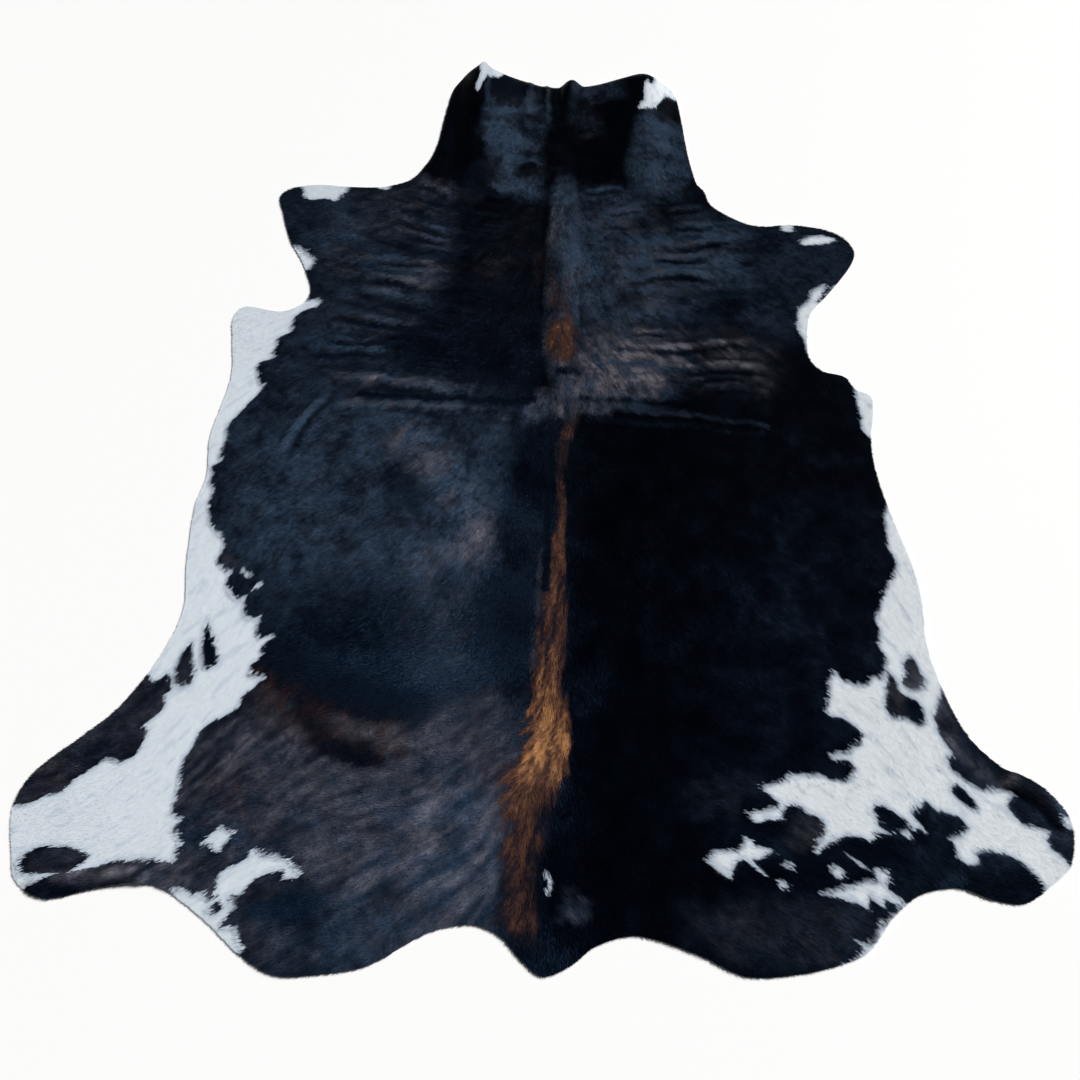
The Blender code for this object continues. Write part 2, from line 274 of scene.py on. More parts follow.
# %% Folds
# Two ends, the bow, the half width to the left and to the right, and the height at each end.
Fold = namedtuple("Fold", "x0 y0 x1 y1 bow left right high0 high1")
FOLDS = {
    # waves that run down the neck
    "neck, left wave": Fold(-0.246, 1.145, -0.236, 0.750, 0.0, 0.190, 0.082, 0.036, 0.013),
    "neck, right wave": Fold(0.212, 1.110, 0.205, 0.760, 0.0, 0.100, 0.190, 0.034, 0.013),
    "neck, middle pleat": Fold(0.006, 1.100, 0.000, 0.960, 0.0, 0.036, 0.034, 0.024, 0.003),
    # the backbone, neck half
    "backbone": Fold(-0.018, 0.690, 0.000, 0.020, 0.0, 0.055, 0.050, 0.007, 0.008),
    # the lips of the fold across the middle
    "left lip, neck side": Fold(-0.500, 0.028, -0.205, 0.008, 0.004, 0.022, 0.030, 0.006, 0.005),
    "left lip, tail side": Fold(-0.460, -0.046, -0.230, -0.052, 0.0, 0.024, 0.022, 0.004, 0.004),
    "right lip": Fold(0.060, -0.052, 0.440, -0.082, 0.006, 0.022, 0.020, 0.005, 0.003),
    # wrinkles of the left shoulder
    "left wrinkle 1": Fold(-0.245, 0.712, -0.150, 0.642, 0.0, 0.020, 0.020, 0.004, 0.005),
    "left wrinkle 2": Fold(-0.392, 0.676, -0.285, 0.622, 0.006, 0.022, 0.022, 0.005, 0.006),
    "left wrinkle 3": Fold(-0.425, 0.596, -0.318, 0.556, 0.0, 0.018, 0.018, 0.004, 0.004),
    "left wrinkle 4": Fold(-0.430, 0.548, -0.292, 0.492, 0.0, 0.018, 0.018, 0.004, 0.005),
    "left wrinkle 5": Fold(-0.410, 0.500, -0.285, 0.462, -0.004, 0.018, 0.018, 0.004, 0.005),
    "left wrinkle 6": Fold(-0.500, 0.402, -0.312, 0.388, 0.006, 0.022, 0.022, 0.004, 0.005),
    "left wrinkle 7": Fold(-0.555, 0.356, -0.335, 0.318, 0.0, 0.022, 0.022, 0.004, 0.006),
    "left wrinkle 8": Fold(-0.500, 0.302, -0.300, 0.246, 0.0, 0.019, 0.019, 0.005, 0.005),
    "left wrinkle 9": Fold(-0.590, 0.212, -0.255, 0.164, 0.016, 0.020, 0.020, 0.004, 0.005),
    "left wrinkle 10": Fold(-0.600, 0.112, -0.385, 0.102, 0.005, 0.022, 0.022, 0.005, 0.004),
    "left wrinkle 11": Fold(-0.604, -0.200, -0.524, 0.004, 0.008, 0.020, 0.020, 0.004, 0.004),
    # wrinkles of the right shoulder
    "right wrinkle 1": Fold(0.045, 0.660, 0.155, 0.674, 0.0, 0.016, 0.016, 0.004, 0.004),
    "right wrinkle 2": Fold(0.245, 0.598, 0.360, 0.618, 0.0, 0.019, 0.019, 0.004, 0.005),
    "right wrinkle 3": Fold(0.265, 0.540, 0.372, 0.560, 0.0, 0.018, 0.018, 0.004, 0.004),
    "right wrinkle 4": Fold(0.285, 0.470, 0.425, 0.508, 0.0, 0.020, 0.020, 0.005, 0.004),
    "right wrinkle 5": Fold(0.190, 0.428, 0.370, 0.446, 0.0, 0.018, 0.018, 0.004, 0.005),
    "right wrinkle 6": Fold(0.150, 0.352, 0.375, 0.384, 0.012, 0.022, 0.022, 0.005, 0.005),
    "right wrinkle 7": Fold(0.200, 0.138, 0.460, 0.168, 0.010, 0.020, 0.020, 0.006, 0.004),
    "right wrinkle 8": Fold(0.280, 0.084, 0.482, 0.096, 0.009, 0.022, 0.022, 0.006, 0.004),
    "right wrinkle 9": Fold(0.300, 0.032, 0.440, 0.036, 0.004, 0.018, 0.018, 0.004, 0.004),
    # lifted edges of the hind legs
    "right hock": Fold(0.836, -0.822, 0.900, -0.880, 0.010, 0.022, 0.030, 0.007, 0.008),
    "left hock": Fold(-0.860, -1.062, -0.690, -1.046, 0.010, 0.022, 0.030, 0.005, 0.006),
    # small wrinkles between the others
    "left wrinkle a": Fold(-0.400, 0.445, -0.300, 0.440, 0.0, 0.014, 0.014, 0.003, 0.003),
    "left wrinkle b": Fold(-0.470, 0.270, -0.330, 0.245, 0.0, 0.012, 0.012, 0.002, 0.003),
    "left wrinkle c": Fold(-0.560, 0.145, -0.370, 0.140, 0.0, 0.013, 0.013, 0.003, 0.003),
    "right wrinkle a": Fold(0.100, 0.585, 0.200, 0.605, 0.0, 0.013, 0.013, 0.002, 0.003),
    "right wrinkle b": Fold(0.280, 0.385, 0.330, 0.380, 0.0, 0.013, 0.013, 0.003, 0.003),
    "right wrinkle c": Fold(0.160, 0.185, 0.260, 0.200, 0.0, 0.013, 0.013, 0.003, 0.003),
    "right wrinkle d": Fold(0.300, 0.060, 0.420, 0.070, 0.0, 0.012, 0.012, 0.003, 0.002),
    "neck ridge a": Fold(-0.060, 1.090, -0.058, 0.930, 0.0, 0.014, 0.014, 0.004, 0.001),
    "neck ridge b": Fold(-0.110, 1.088, -0.108, 1.000, 0.0, 0.014, 0.014, 0.003, 0.001),
}
print(len(FOLDS), "folds")

# %% Height of the flesh side over the floor
def bump(ratio):
    """A soft hump that is 1 at ratio 0 and reaches 0, level, at ratio 1."""
    return np.clip(1 - ratio**2, 0, None) ** 2


def ramp(value, low, high):
    """0 below low, 1 above high, and a soft step between them."""
    t = np.clip((value - low) / (high - low), 0, 1)
    return t * t * (3 - 2 * t)


def along_and_off(x, y, line):
    """How far along a bowed line each point lies (0 to 1), past its end, and to its left."""
    run = np.array((line.x1 - line.x0, line.y1 - line.y0))
    length = np.hypot(*run)
    way = run / length
    t = ((x - line.x0) * way[0] + (y - line.y0) * way[1]) / length
    held = np.clip(t, 0, 1)
    left = (y - line.y0) * way[0] - (x - line.x0) * way[1]
    left = left - line.bow * np.sin(np.pi * held)
    return held, (t - held) * length, left


END_POWER = 2.5  # the higher it is, the shorter the ends over which a wrinkle fades


def fading_ends(held):
    """1 along most of a line, and down to 0 at both of its ends."""
    return bump(np.abs(2 * held - 1) ** END_POWER)


WRINKLE_SHARE = 0.9  # of a wrinkle's height in the solid, which the hair on it fills out


def height(x, y, sway_x, sway_y):
    """Swells are added up, creases bring them back to the floor, and folds stand on top.

    Folds are read at swayed places, so that no two of them run quite alike.
    """
    total = np.zeros_like(x)
    for swell in SWELLS.values():
        ratio = np.hypot((x - swell.x) / swell.reach_x, (y - swell.y) / swell.reach_y)
        total += swell.high * bump(ratio)
    for crease in CREASES.values():
        _, past_end, left = along_and_off(x, y, crease)
        total *= 1 - bump(np.hypot(past_end, left) / crease.wide)
    for name, fold in FOLDS.items():
        held, past_end, left = along_and_off(sway_x, sway_y, fold)
        share = WRINKLE_SHARE * fading_ends(held) if "wrinkle" in name else 1.0
        wide = np.where(left > 0, fold.left, fold.right)
        round_end = min(fold.left, fold.right)
        high = fold.high0 + (fold.high1 - fold.high0) * held
        total += share * high * bump(np.hypot(past_end / round_end, left / wide))
    return total


# %% [markdown]
# ## Maps on a fine grid
#
# Height, coat colour and hair direction are needed at a million points. It is quicker to
# work each of them out once on a 3 mm grid over the whole rug and to read between the grid
# points afterwards. A map is just an array with one value for each grid point.

# %% Noise
TABLE = 256  # random numbers along each side of the table
START_X, START_Y = 101.7, 203.3  # cells by which the net is shifted off (0, 0)


def soft_noise(x, y, size, seed):
    """Random numbers on a net of the given size, joined by smooth steps; 0 to 1."""
    table = np.random.default_rng(seed).random((TABLE, TABLE))
    u, v = x / size + START_X, y / size + START_Y
    column, row = np.floor(u).astype(int), np.floor(v).astype(int)
    s, t = u - column, v - row
    s, t = s * s * (3 - 2 * s), t * t * (3 - 2 * t)
    column, row, right, up = (n % TABLE for n in (column, row, column + 1, row + 1))
    near = table[row, column] * (1 - s) + table[row, right] * s
    far = table[up, column] * (1 - s) + table[up, right] * s
    return near * (1 - t) + far * t


def rough_noise(x, y, size, seed, layers=4, fade=0.8):
    """Soft noise of ever smaller size, each layer weaker by the fade, about a mean of 0.5."""
    weights = fade ** np.arange(layers)
    total = sum(
        weight * soft_noise(x, y, size / 2**layer, 10 * seed + layer)
        for layer, weight in enumerate(weights)
    )
    return total / weights.sum()


# %% The grid, and reading between its points
CELL = 0.003
MARGIN = 0.05  # of grid beyond the cut edge
grid_x = np.arange(outline[:, 0].min() - MARGIN, outline[:, 0].max() + MARGIN, CELL)
grid_y = np.arange(outline[:, 1].min() - MARGIN, outline[:, 1].max() + MARGIN, CELL)
across_map, along_map = np.meshgrid(grid_x, grid_y)


def read(chart, x, y):
    """The chart's value at any points: the four grid points round each, by their nearness."""
    u = np.clip((x - grid_x[0]) / CELL, 0, len(grid_x) - 1.001)
    v = np.clip((y - grid_y[0]) / CELL, 0, len(grid_y) - 1.001)
    column, row = u.astype(int), v.astype(int)
    s, t = u - column, v - row
    near = chart[row, column] * (1 - s) + chart[row, column + 1] * s
    far = chart[row + 1, column] * (1 - s) + chart[row + 1, column + 1] * s
    return near * (1 - t) + far * t


SWAY_ACROSS, SWAY_ALONG = 0.014, 0.018  # twice the furthest that a fold strays
sway_x = across_map + SWAY_ACROSS * (soft_noise(across_map, along_map, 0.070, 8) - 0.5)
sway_y = along_map + SWAY_ALONG * (soft_noise(across_map, along_map, 0.055, 9) - 0.5)
lie_map = height(across_map, along_map, sway_x, sway_y)
print("grid", across_map.shape, "- highest fold", round(lie_map.max() * 1000, 1), "mm")

# %% Fine wrinkles between the folds
# An area has its middle, its reach to each side, how strongly it is wrinkled, and how steeply
# its wrinkles climb to the right.
Area = namedtuple("Area", "x y reach_x reach_y amount slope")
WRINKLED = {
    "left shoulder": Area(-0.370, 0.430, 0.290, 0.330, 1.0, -0.30),
    "left armpit": Area(-0.450, 0.100, 0.260, 0.150, 0.9, -0.05),
    "right shoulder": Area(0.280, 0.440, 0.240, 0.280, 1.0, 0.16),
    "right of the back": Area(0.300, 0.100, 0.240, 0.120, 1.0, 0.05),
    "neck": Area(0.000, 0.880, 0.330, 0.220, 0.5, 0.0),
}
AREA_SOFT = 0.35  # of an area's reach, over which its wrinkles fade
WINDING = 0.030  # twice the furthest that a fine wrinkle winds
FINE_HIGH = 0.0011
FINE_PITCH = 0.019
FINE_STRETCH = 11.0  # a wrinkle is this many times longer than the pitch


def along_wrinkles(x, y, area):
    """How much of its wrinkles an area has at each point, and y as counted across them."""
    near = np.hypot((x - area.x) / area.reach_x, (y - area.y) / area.reach_y)
    winding = WINDING * (rough_noise(x, y, 0.140, 40, 2) - 0.5)
    return area.amount * ramp(1 - near, 0, AREA_SOFT), y - area.slope * (x - area.x) + winding


def fine_wrinkles(x, y):
    """Crests where a stretched noise field passes its middle value, so they wind and fork."""
    total = np.zeros_like(x)
    for number, area in enumerate(WRINKLED.values()):
        strength, line_y = along_wrinkles(x, y, area)
        field = soft_noise(x / FINE_STRETCH, line_y, FINE_PITCH, 41 + number)
        crest = (1 - np.abs(2 * field - 1)) ** 2
        here_and_there = ramp(soft_noise(x, y, 0.080, 50 + number), 0.25, 0.65)
        total += strength * crest * here_and_there
    return FINE_HIGH * total


def averaged(chart, cells):
    """The chart averaged over a square of grid cells to each side of every point."""
    for axis in (0, 1):
        steps = range(-cells, cells + 1)
        chart = sum(np.roll(chart, step, axis) for step in steps) / len(steps)
    return chart


SURROUNDINGS = 4  # grid cells to each side
lie_map = lie_map + fine_wrinkles(across_map, along_map)
relief_map = lie_map - averaged(lie_map, SURROUNDINGS)  # above 0 on a crest, below 0 in a groove
print("crests stand", round(relief_map.max() * 1000, 1), "mm out of their surroundings")

# %% How far inside a loop each grid point is
REACH = 0.036  # distances are worked out this far to each side of a loop


def inside(loop):
    """True where a walk along the grid's row has crossed the loop an odd number of times."""
    ahead = np.roll(loop, -1, axis=0)
    row, edge = np.nonzero((loop[:, 1] > grid_y[:, None]) != (ahead[:, 1] > grid_y[:, None]))
    share = (grid_y[row] - loop[edge, 1]) / (ahead[edge, 1] - loop[edge, 1])
    crossing = loop[edge, 0] + share * (ahead[edge, 0] - loop[edge, 0])
    count = np.zeros((len(grid_y), len(grid_x) + 1), int)
    np.add.at(count, (row, np.searchsorted(grid_x, crossing)), 1)
    return np.cumsum(count, axis=1)[:, :-1] % 2 == 1


def closely_spaced(loop):
    """The same loop with its straight spans cut to no more than one grid cell."""
    run = np.roll(loop, -1, axis=0) - loop
    count = np.ceil(np.linalg.norm(run, axis=1) / CELL).astype(int)
    first = np.repeat(np.cumsum(count) - count, count)
    share = (np.arange(count.sum()) - first) / np.repeat(count, count)
    return np.repeat(loop, count, axis=0) + share[:, None] * np.repeat(run, count, axis=0)


def depth_inside(loop):
    """Distance to the loop, positive inside and negative outside, up to REACH.

    Each point of the loop offers its distance to the grid points in a square round it, and
    every grid point keeps the least that it is offered.
    """
    points = closely_spaced(loop)
    reach = int(REACH / CELL)
    down, over = (part.ravel() for part in np.mgrid[-reach : reach + 1, -reach : reach + 1])
    row = np.rint((points[:, 1] - grid_y[0]) / CELL).astype(int)[:, None] + down
    column = np.rint((points[:, 0] - grid_x[0]) / CELL).astype(int)[:, None] + over
    row, column = row.clip(0, len(grid_y) - 1), column.clip(0, len(grid_x) - 1)
    away = np.hypot(grid_x[column] - points[:, :1], grid_y[row] - points[:, 1:])
    least = np.full(across_map.shape, REACH)
    np.minimum.at(least, (row, column), away)
    return np.where(inside(loop), least, -least)


edge_map = depth_inside(outline)
hide_area = (edge_map > 0).sum() * CELL**2
print("the hide covers", round(hide_area, 2), "square metres")

# %% [markdown]
# ## Leather
#
# The sheet could be a grid bent to the outline, but a hide's outline has deep bays where a
# grid would pinch. Instead an even net of points fills the outline, and Blender joins them into
# triangles that are as round as they can be, with the cut edge kept as their border. The upper
# face carries the undercoat. The lower face and the cut edge are bare leather.

# %% The net
NET = 0.0094  # spacing of the net
ROW_STEP = np.sqrt(3) / 2  # height of a triangle whose sides are all 1
LEATHER = 0.0020  # thickness of the tanned skin
INSIDE_ONLY = 1  # triangles inside the border, and none outside it
SAME_POINT = 1e-7  # points closer than this count as one


def even_net(spacing):
    """Rows of points, every other one shifted by half a spacing: a net of even triangles."""
    rows = int(np.ptp(grid_y) / (spacing * ROW_STEP))
    row, column = np.mgrid[0:rows, 0 : int(np.ptp(grid_x) / spacing)]
    x = grid_x[0] + (column + 0.5 * (row % 2)) * spacing
    y = grid_y[0] + row * spacing * ROW_STEP
    return x.ravel(), y.ravel()


net_x, net_y = even_net(NET)
kept = read(edge_map, net_x, net_y) > NET / 2
net_points = np.vstack((outline, np.column_stack((net_x[kept], net_y[kept]))))
rim = [(i, (i + 1) % len(outline)) for i in range(len(outline))]
spots = [Vector(point) for point in net_points]
found = delaunay_2d_cdt(spots, rim, [], INSIDE_ONLY, SAME_POINT)
flat = np.array([tuple(point) for point in found[0]])
triangles = np.array(found[2])
print(len(flat), "points and", len(triangles), "triangles on each face of the leather")

# %% Put a sheet of triangles into Blender
UV_MARGIN = 0.004


def plan_map(mesh, xy, name="OFBake"):
    """A UV map that is the plan view, at one scale both ways, for every corner of the mesh."""
    low, size = xy.min(axis=0), np.ptp(xy, axis=0).max()
    index = np.empty(len(mesh.loops), np.int32)
    mesh.loops.foreach_get("vertex_index", index)
    uv = UV_MARGIN + (1 - 2 * UV_MARGIN) * (xy[index] - low) / size
    mesh.uv_layers.new(name=name).data.foreach_set("uv", uv.astype(np.float32).ravel())


def new_mesh(name, points, faces, plan):
    """A mesh object from whole arrays; its plan view becomes its UV map."""
    mesh = bpy.data.meshes.new(name)
    mesh.vertices.add(len(points))
    mesh.vertices.foreach_set("co", points.astype(np.float32).ravel())
    mesh.loops.add(faces.size)
    mesh.loops.foreach_set("vertex_index", faces.astype(np.int32).ravel())
    mesh.polygons.add(len(faces))
    mesh.polygons.foreach_set("loop_start", np.arange(0, faces.size, 3, dtype=np.int32))
    mesh.update(calc_edges=True)
    plan_map(mesh, plan)
    made = bpy.data.objects.new(name, mesh)
    scene.collection.objects.link(made)
    return made


def put_values(piece, name, values):
    """Four numbers for each point, which a material reads by the name."""
    attribute = piece.data.attributes.new(name, "FLOAT_COLOR", "POINT")
    attribute.data.foreach_set("color", values.astype(np.float32).ravel())


lie = read(lie_map, flat[:, 0], flat[:, 1])
top = np.column_stack((flat - middle, lie + LEATHER))
undercoat = new_mesh("undercoat", top, triangles, flat)
undercoat.data.shade_smooth()
print("the undercoat has", len(triangles), "triangles")

# %% The flesh side and the cut edge
UV_LIP = 0.004  # the cut edge is unfolded outwards by this much on its UV map
rim_count = len(outline)
ahead = np.roll(outline, -1, axis=0) - np.roll(outline, 1, axis=0)
outward = np.column_stack((-ahead[:, 1], ahead[:, 0])) / np.linalg.norm(ahead, axis=1)[:, None]
under = np.column_stack((flat - middle, lie))
lip = top[:rim_count]
low_here = np.arange(rim_count)
low_after = np.roll(low_here, -1)
top_here, top_after = low_here + len(flat), low_after + len(flat)
wall = np.vstack(
    (
        np.column_stack((low_here, low_after, top_after)),
        np.column_stack((low_here, top_after, top_here)),
    )
)
faces = np.vstack((triangles[:, ::-1], wall))
lip_plan = outline + UV_LIP * outward
flesh_side = new_mesh("flesh_side", np.vstack((under, lip)), faces, np.vstack((flat, lip_plan)))
flesh_side.data.shade_smooth()
print("the flesh side has", len(faces), "triangles,", len(wall), "of them along the cut edge")

# %% [markdown]
# ## The coat's pattern
#
# The pattern is in the hair and not on the leather, so it is kept as maps, and every tuft of
# hair reads them a little way along its own length. It could be a painted picture, but outlines
# and bands at real size stay sharp from close by and are easy to move. White patches and the
# dark islands in them are listed outlines: how deep a point lies inside one tells white from
# black, and as some tufts read further along than others, the border breaks up into hair. The
# tan stripe is a band with its own width at each place along the backbone. Grey, dusty and
# brown hairs stand among the black in soft patches and strokes. The grey also carries painted
# sheen where the hide faces the window and painted shade where it turns away, and the crest of
# each wrinkle is painted lighter than its groove, with a painted shadow on its tail side.

# %% White patches of the left flank and hind leg, and of the tail
WHITE_LEFT = {
    "left flank and hind leg": (
        (-0.610, 0.265), (-0.592, 0.272), (-0.582, 0.258), (-0.585, 0.243), (-0.600, 0.239),
        (-0.617, 0.232), (-0.628, 0.222), (-0.636, 0.210), (-0.635, 0.195), (-0.639, 0.182),
        (-0.634, 0.175), (-0.636, 0.162), (-0.655, 0.153), (-0.667, 0.146), (-0.662, 0.130),
        (-0.663, 0.115), (-0.668, 0.105), (-0.662, 0.085), (-0.680, 0.078), (-0.695, 0.070),
        (-0.696, 0.055), (-0.690, 0.035), (-0.683, 0.012), (-0.671, 0.010), (-0.670, 0.000),
        (-0.678, -0.015), (-0.700, -0.050), (-0.718, -0.083), (-0.728, -0.098), (-0.732, -0.125),
        (-0.727, -0.145), (-0.732, -0.190), (-0.722, -0.200), (-0.735, -0.210), (-0.744, -0.215),
        (-0.737, -0.235), (-0.742, -0.255), (-0.727, -0.270), (-0.730, -0.300), (-0.720, -0.350),
        (-0.705, -0.370), (-0.680, -0.390), (-0.677, -0.424), (-0.686, -0.434), (-0.680, -0.448),
        (-0.662, -0.460), (-0.648, -0.468), (-0.657, -0.478), (-0.655, -0.495), (-0.645, -0.512),
        (-0.628, -0.524), (-0.612, -0.516), (-0.612, -0.530), (-0.610, -0.548), (-0.600, -0.563),
        (-0.588, -0.566), (-0.575, -0.556), (-0.576, -0.592), (-0.565, -0.605), (-0.545, -0.594),
        (-0.535, -0.602), (-0.550, -0.609), (-0.557, -0.620), (-0.555, -0.635), (-0.562, -0.650),
        (-0.573, -0.658), (-0.572, -0.676), (-0.558, -0.683), (-0.548, -0.676), (-0.540, -0.688),
        (-0.550, -0.690), (-0.560, -0.705), (-0.577, -0.720), (-0.580, -0.740), (-0.595, -0.755),
        (-0.630, -0.778), (-0.645, -0.795), (-0.650, -0.825), (-0.660, -0.840), (-0.662, -0.865),
        (-0.658, -0.885), (-0.662, -0.938), (-0.645, -0.942), (-0.640, -0.948), (-0.652, -0.965),
        (-0.635, -0.982), (-0.637, -1.010), (-0.630, -1.020), (-0.655, -1.021), (-0.680, -1.017),
        (-0.740, -1.022), (-0.785, -1.037), (-0.835, -1.047), (-0.868, -1.063), (-0.880, -1.068),
        (-0.890, -1.100), (-1.000, -1.080), (-1.000, -0.500), (-0.850, 0.100), (-0.850, 0.290),
        (-0.630, 0.275),
    ),
    "left flank curl": (
        (-0.633, -0.460), (-0.622, -0.460), (-0.611, -0.469), (-0.607, -0.480), (-0.618, -0.474),
    ),
    "left flank fleck": (
        (-0.596, -0.487), (-0.587, -0.484), (-0.583, -0.490), (-0.588, -0.498), (-0.602, -0.503),
    ),
    "left rump spot": (
        (-0.597, -0.985), (-0.585, -0.972), (-0.572, -0.957), (-0.560, -0.963), (-0.542, -0.966),
        (-0.550, -0.980), (-0.558, -0.990), (-0.562, -1.005), (-0.575, -1.000), (-0.585, -0.993),
    ),
    "left rump hook": (
        (-0.510, -0.993), (-0.500, -0.988), (-0.490, -1.000), (-0.465, -1.003), (-0.445, -1.007),
        (-0.430, -1.018), (-0.413, -1.030), (-0.428, -1.040), (-0.445, -1.040), (-0.455, -1.028),
        (-0.475, -1.033), (-0.495, -1.043), (-0.505, -1.055), (-0.515, -1.070), (-0.530, -1.067),
        (-0.525, -1.080), (-0.515, -1.090), (-0.530, -1.100), (-0.535, -1.118), (-0.510, -1.120),
        (-0.505, -1.135), (-0.490, -1.147), (-0.495, -1.158), (-0.520, -1.160), (-0.570, -1.120),
        (-0.620, -1.090), (-0.635, -1.060), (-0.615, -1.062), (-0.595, -1.068), (-0.575, -1.068),
        (-0.562, -1.080), (-0.555, -1.075), (-0.560, -1.065), (-0.560, -1.050), (-0.557, -1.035),
        (-0.545, -1.025), (-0.530, -1.020), (-0.515, -1.010),
    ),
    "tail mark": (
        (-0.004, -1.018), (0.004, -1.012), (0.013, -1.020), (0.014, -1.036), (0.006, -1.052),
        (0.001, -1.048), (0.006, -1.036), (0.005, -1.024),
    ),
}
print(len(WHITE_LEFT), "white patches")

# %% White patches of the right side
WHITE_RIGHT = {
    "right flank and hind leg": (
        (0.692, -0.270), (0.684, -0.285), (0.685, -0.310), (0.680, -0.360), (0.688, -0.375),
        (0.692, -0.395), (0.690, -0.405), (0.680, -0.425), (0.660, -0.460), (0.642, -0.500),
        (0.632, -0.520), (0.638, -0.545), (0.630, -0.575), (0.638, -0.590), (0.642, -0.605),
        (0.635, -0.630), (0.622, -0.642), (0.610, -0.638), (0.603, -0.650), (0.580, -0.660),
        (0.565, -0.650), (0.555, -0.650), (0.543, -0.630), (0.535, -0.638), (0.527, -0.650),
        (0.522, -0.690), (0.513, -0.712), (0.522, -0.722), (0.540, -0.720), (0.562, -0.735),
        (0.575, -0.748), (0.573, -0.765), (0.562, -0.770), (0.552, -0.782), (0.512, -0.791),
        (0.512, -0.799), (0.546, -0.801), (0.553, -0.815), (0.548, -0.830), (0.530, -0.837),
        (0.510, -0.835), (0.495, -0.828), (0.435, -0.828), (0.430, -0.838), (0.410, -0.845),
        (0.378, -0.855), (0.392, -0.865), (0.408, -0.878), (0.408, -0.887), (0.375, -0.898),
        (0.352, -0.900), (0.362, -0.913), (0.372, -0.920), (0.387, -0.913), (0.415, -0.912),
        (0.420, -0.895), (0.430, -0.885), (0.450, -0.885), (0.462, -0.900), (0.480, -0.902),
        (0.488, -0.912), (0.487, -0.928), (0.468, -0.952), (0.460, -0.967), (0.472, -0.967),
        (0.485, -0.953), (0.510, -0.937), (0.530, -0.933), (0.550, -0.935), (0.565, -0.942),
        (0.578, -0.928), (0.620, -0.925), (0.635, -0.937), (0.642, -0.930), (0.633, -0.920),
        (0.650, -0.917), (0.665, -0.922), (0.660, -0.910), (0.648, -0.895), (0.650, -0.885),
        (0.665, -0.880), (0.673, -0.868), (0.690, -0.885), (0.730, -0.895), (0.738, -0.910),
        (0.725, -0.925), (0.705, -0.927), (0.710, -0.945), (0.713, -0.965), (0.730, -0.975),
        (0.750, -0.972), (0.748, -0.955), (0.775, -0.950), (0.800, -0.955), (0.820, -0.965),
        (0.835, -0.980), (0.848, -1.000), (0.850, -1.030), (0.940, -1.000), (0.905, -0.972),
        (0.895, -0.955), (0.880, -0.940), (0.875, -0.925), (0.885, -0.912), (0.860, -0.905),
        (0.835, -0.900), (0.815, -0.870), (0.835, -0.850), (0.820, -0.843), (0.775, -0.843),
        (0.755, -0.833), (0.728, -0.810), (0.725, -0.795), (0.738, -0.780), (0.720, -0.748),
        (0.715, -0.715), (0.730, -0.690), (0.740, -0.660), (0.800, -0.600), (0.790, -0.350),
        (0.700, -0.240),
    ),
    "right foot tip": (
        (0.908, -0.886), (0.930, -0.890), (0.940, -0.906), (0.912, -0.908), (0.902, -0.898),
    ),
    "right rump bow": (
        (0.277, -0.985), (0.293, -0.967), (0.330, -0.965), (0.343, -0.957), (0.345, -0.940),
        (0.355, -0.942), (0.362, -0.955), (0.385, -0.958), (0.400, -0.962), (0.385, -0.972),
        (0.360, -0.983), (0.372, -0.995), (0.383, -1.005), (0.372, -1.003), (0.358, -0.990),
        (0.345, -0.980), (0.330, -0.985), (0.322, -1.000), (0.318, -1.012), (0.302, -1.005),
        (0.290, -0.995),
    ),
    "right rump fleck 1": ((0.395, -1.011), (0.410, -1.009), (0.419, -1.020), (0.404, -1.026)),
    "right rump fleck 2": ((0.405, -0.984), (0.430, -0.981), (0.427, -0.991), (0.412, -0.990)),
    "right rump fleck 3": (
        (0.490, -0.988), (0.502, -0.981), (0.516, -0.992), (0.510, -1.004), (0.496, -1.005),
    ),
    "right rump fleck 4": ((0.520, -0.961), (0.546, -0.977), (0.563, -0.990), (0.543, -0.984)),
    "right rump branch": (
        (0.463, -1.030), (0.485, -1.025), (0.510, -1.018), (0.550, -1.005), (0.570, -1.005),
        (0.563, -0.990), (0.568, -0.983), (0.580, -0.988), (0.593, -0.985), (0.590, -1.000),
        (0.583, -1.015), (0.595, -1.025), (0.610, -1.035), (0.600, -1.045), (0.578, -1.035),
        (0.575, -1.050), (0.560, -1.040), (0.553, -1.030), (0.548, -1.045), (0.550, -1.055),
        (0.535, -1.045), (0.505, -1.037), (0.485, -1.033),
    ),
    "right rump edge": (
        (0.612, -1.043), (0.590, -1.058), (0.567, -1.070), (0.555, -1.085), (0.553, -1.100),
        (0.535, -1.105), (0.510, -1.095), (0.528, -1.108), (0.530, -1.118), (0.515, -1.128),
        (0.490, -1.138), (0.520, -1.160), (0.600, -1.130), (0.640, -1.040),
    ),
    "right flank, front": (
        (0.664, 0.042), (0.667, 0.020), (0.665, 0.000), (0.670, -0.030), (0.665, -0.060),
        (0.675, -0.080), (0.684, -0.090), (0.720, -0.090), (0.740, 0.050), (0.690, 0.060),
    ),
    "right elbow": (
        (0.640, 0.360), (0.622, 0.355), (0.600, 0.335), (0.590, 0.305), (0.573, 0.293),
        (0.562, 0.280), (0.556, 0.240), (0.555, 0.210), (0.565, 0.185), (0.568, 0.165),
        (0.573, 0.130), (0.600, 0.120), (0.620, 0.250), (0.690, 0.360),
    ),
    "right foreleg dot": (
        (0.548, 0.570), (0.545, 0.540), (0.560, 0.535), (0.577, 0.537), (0.582, 0.552),
        (0.575, 0.575),
    ),
    "right foreleg streak": (
        (0.588, 0.495), (0.592, 0.508), (0.612, 0.523), (0.645, 0.528), (0.665, 0.525),
        (0.680, 0.518), (0.680, 0.510), (0.650, 0.497), (0.610, 0.492), (0.598, 0.490),
    ),
}
print(len(WHITE_RIGHT), "white patches")

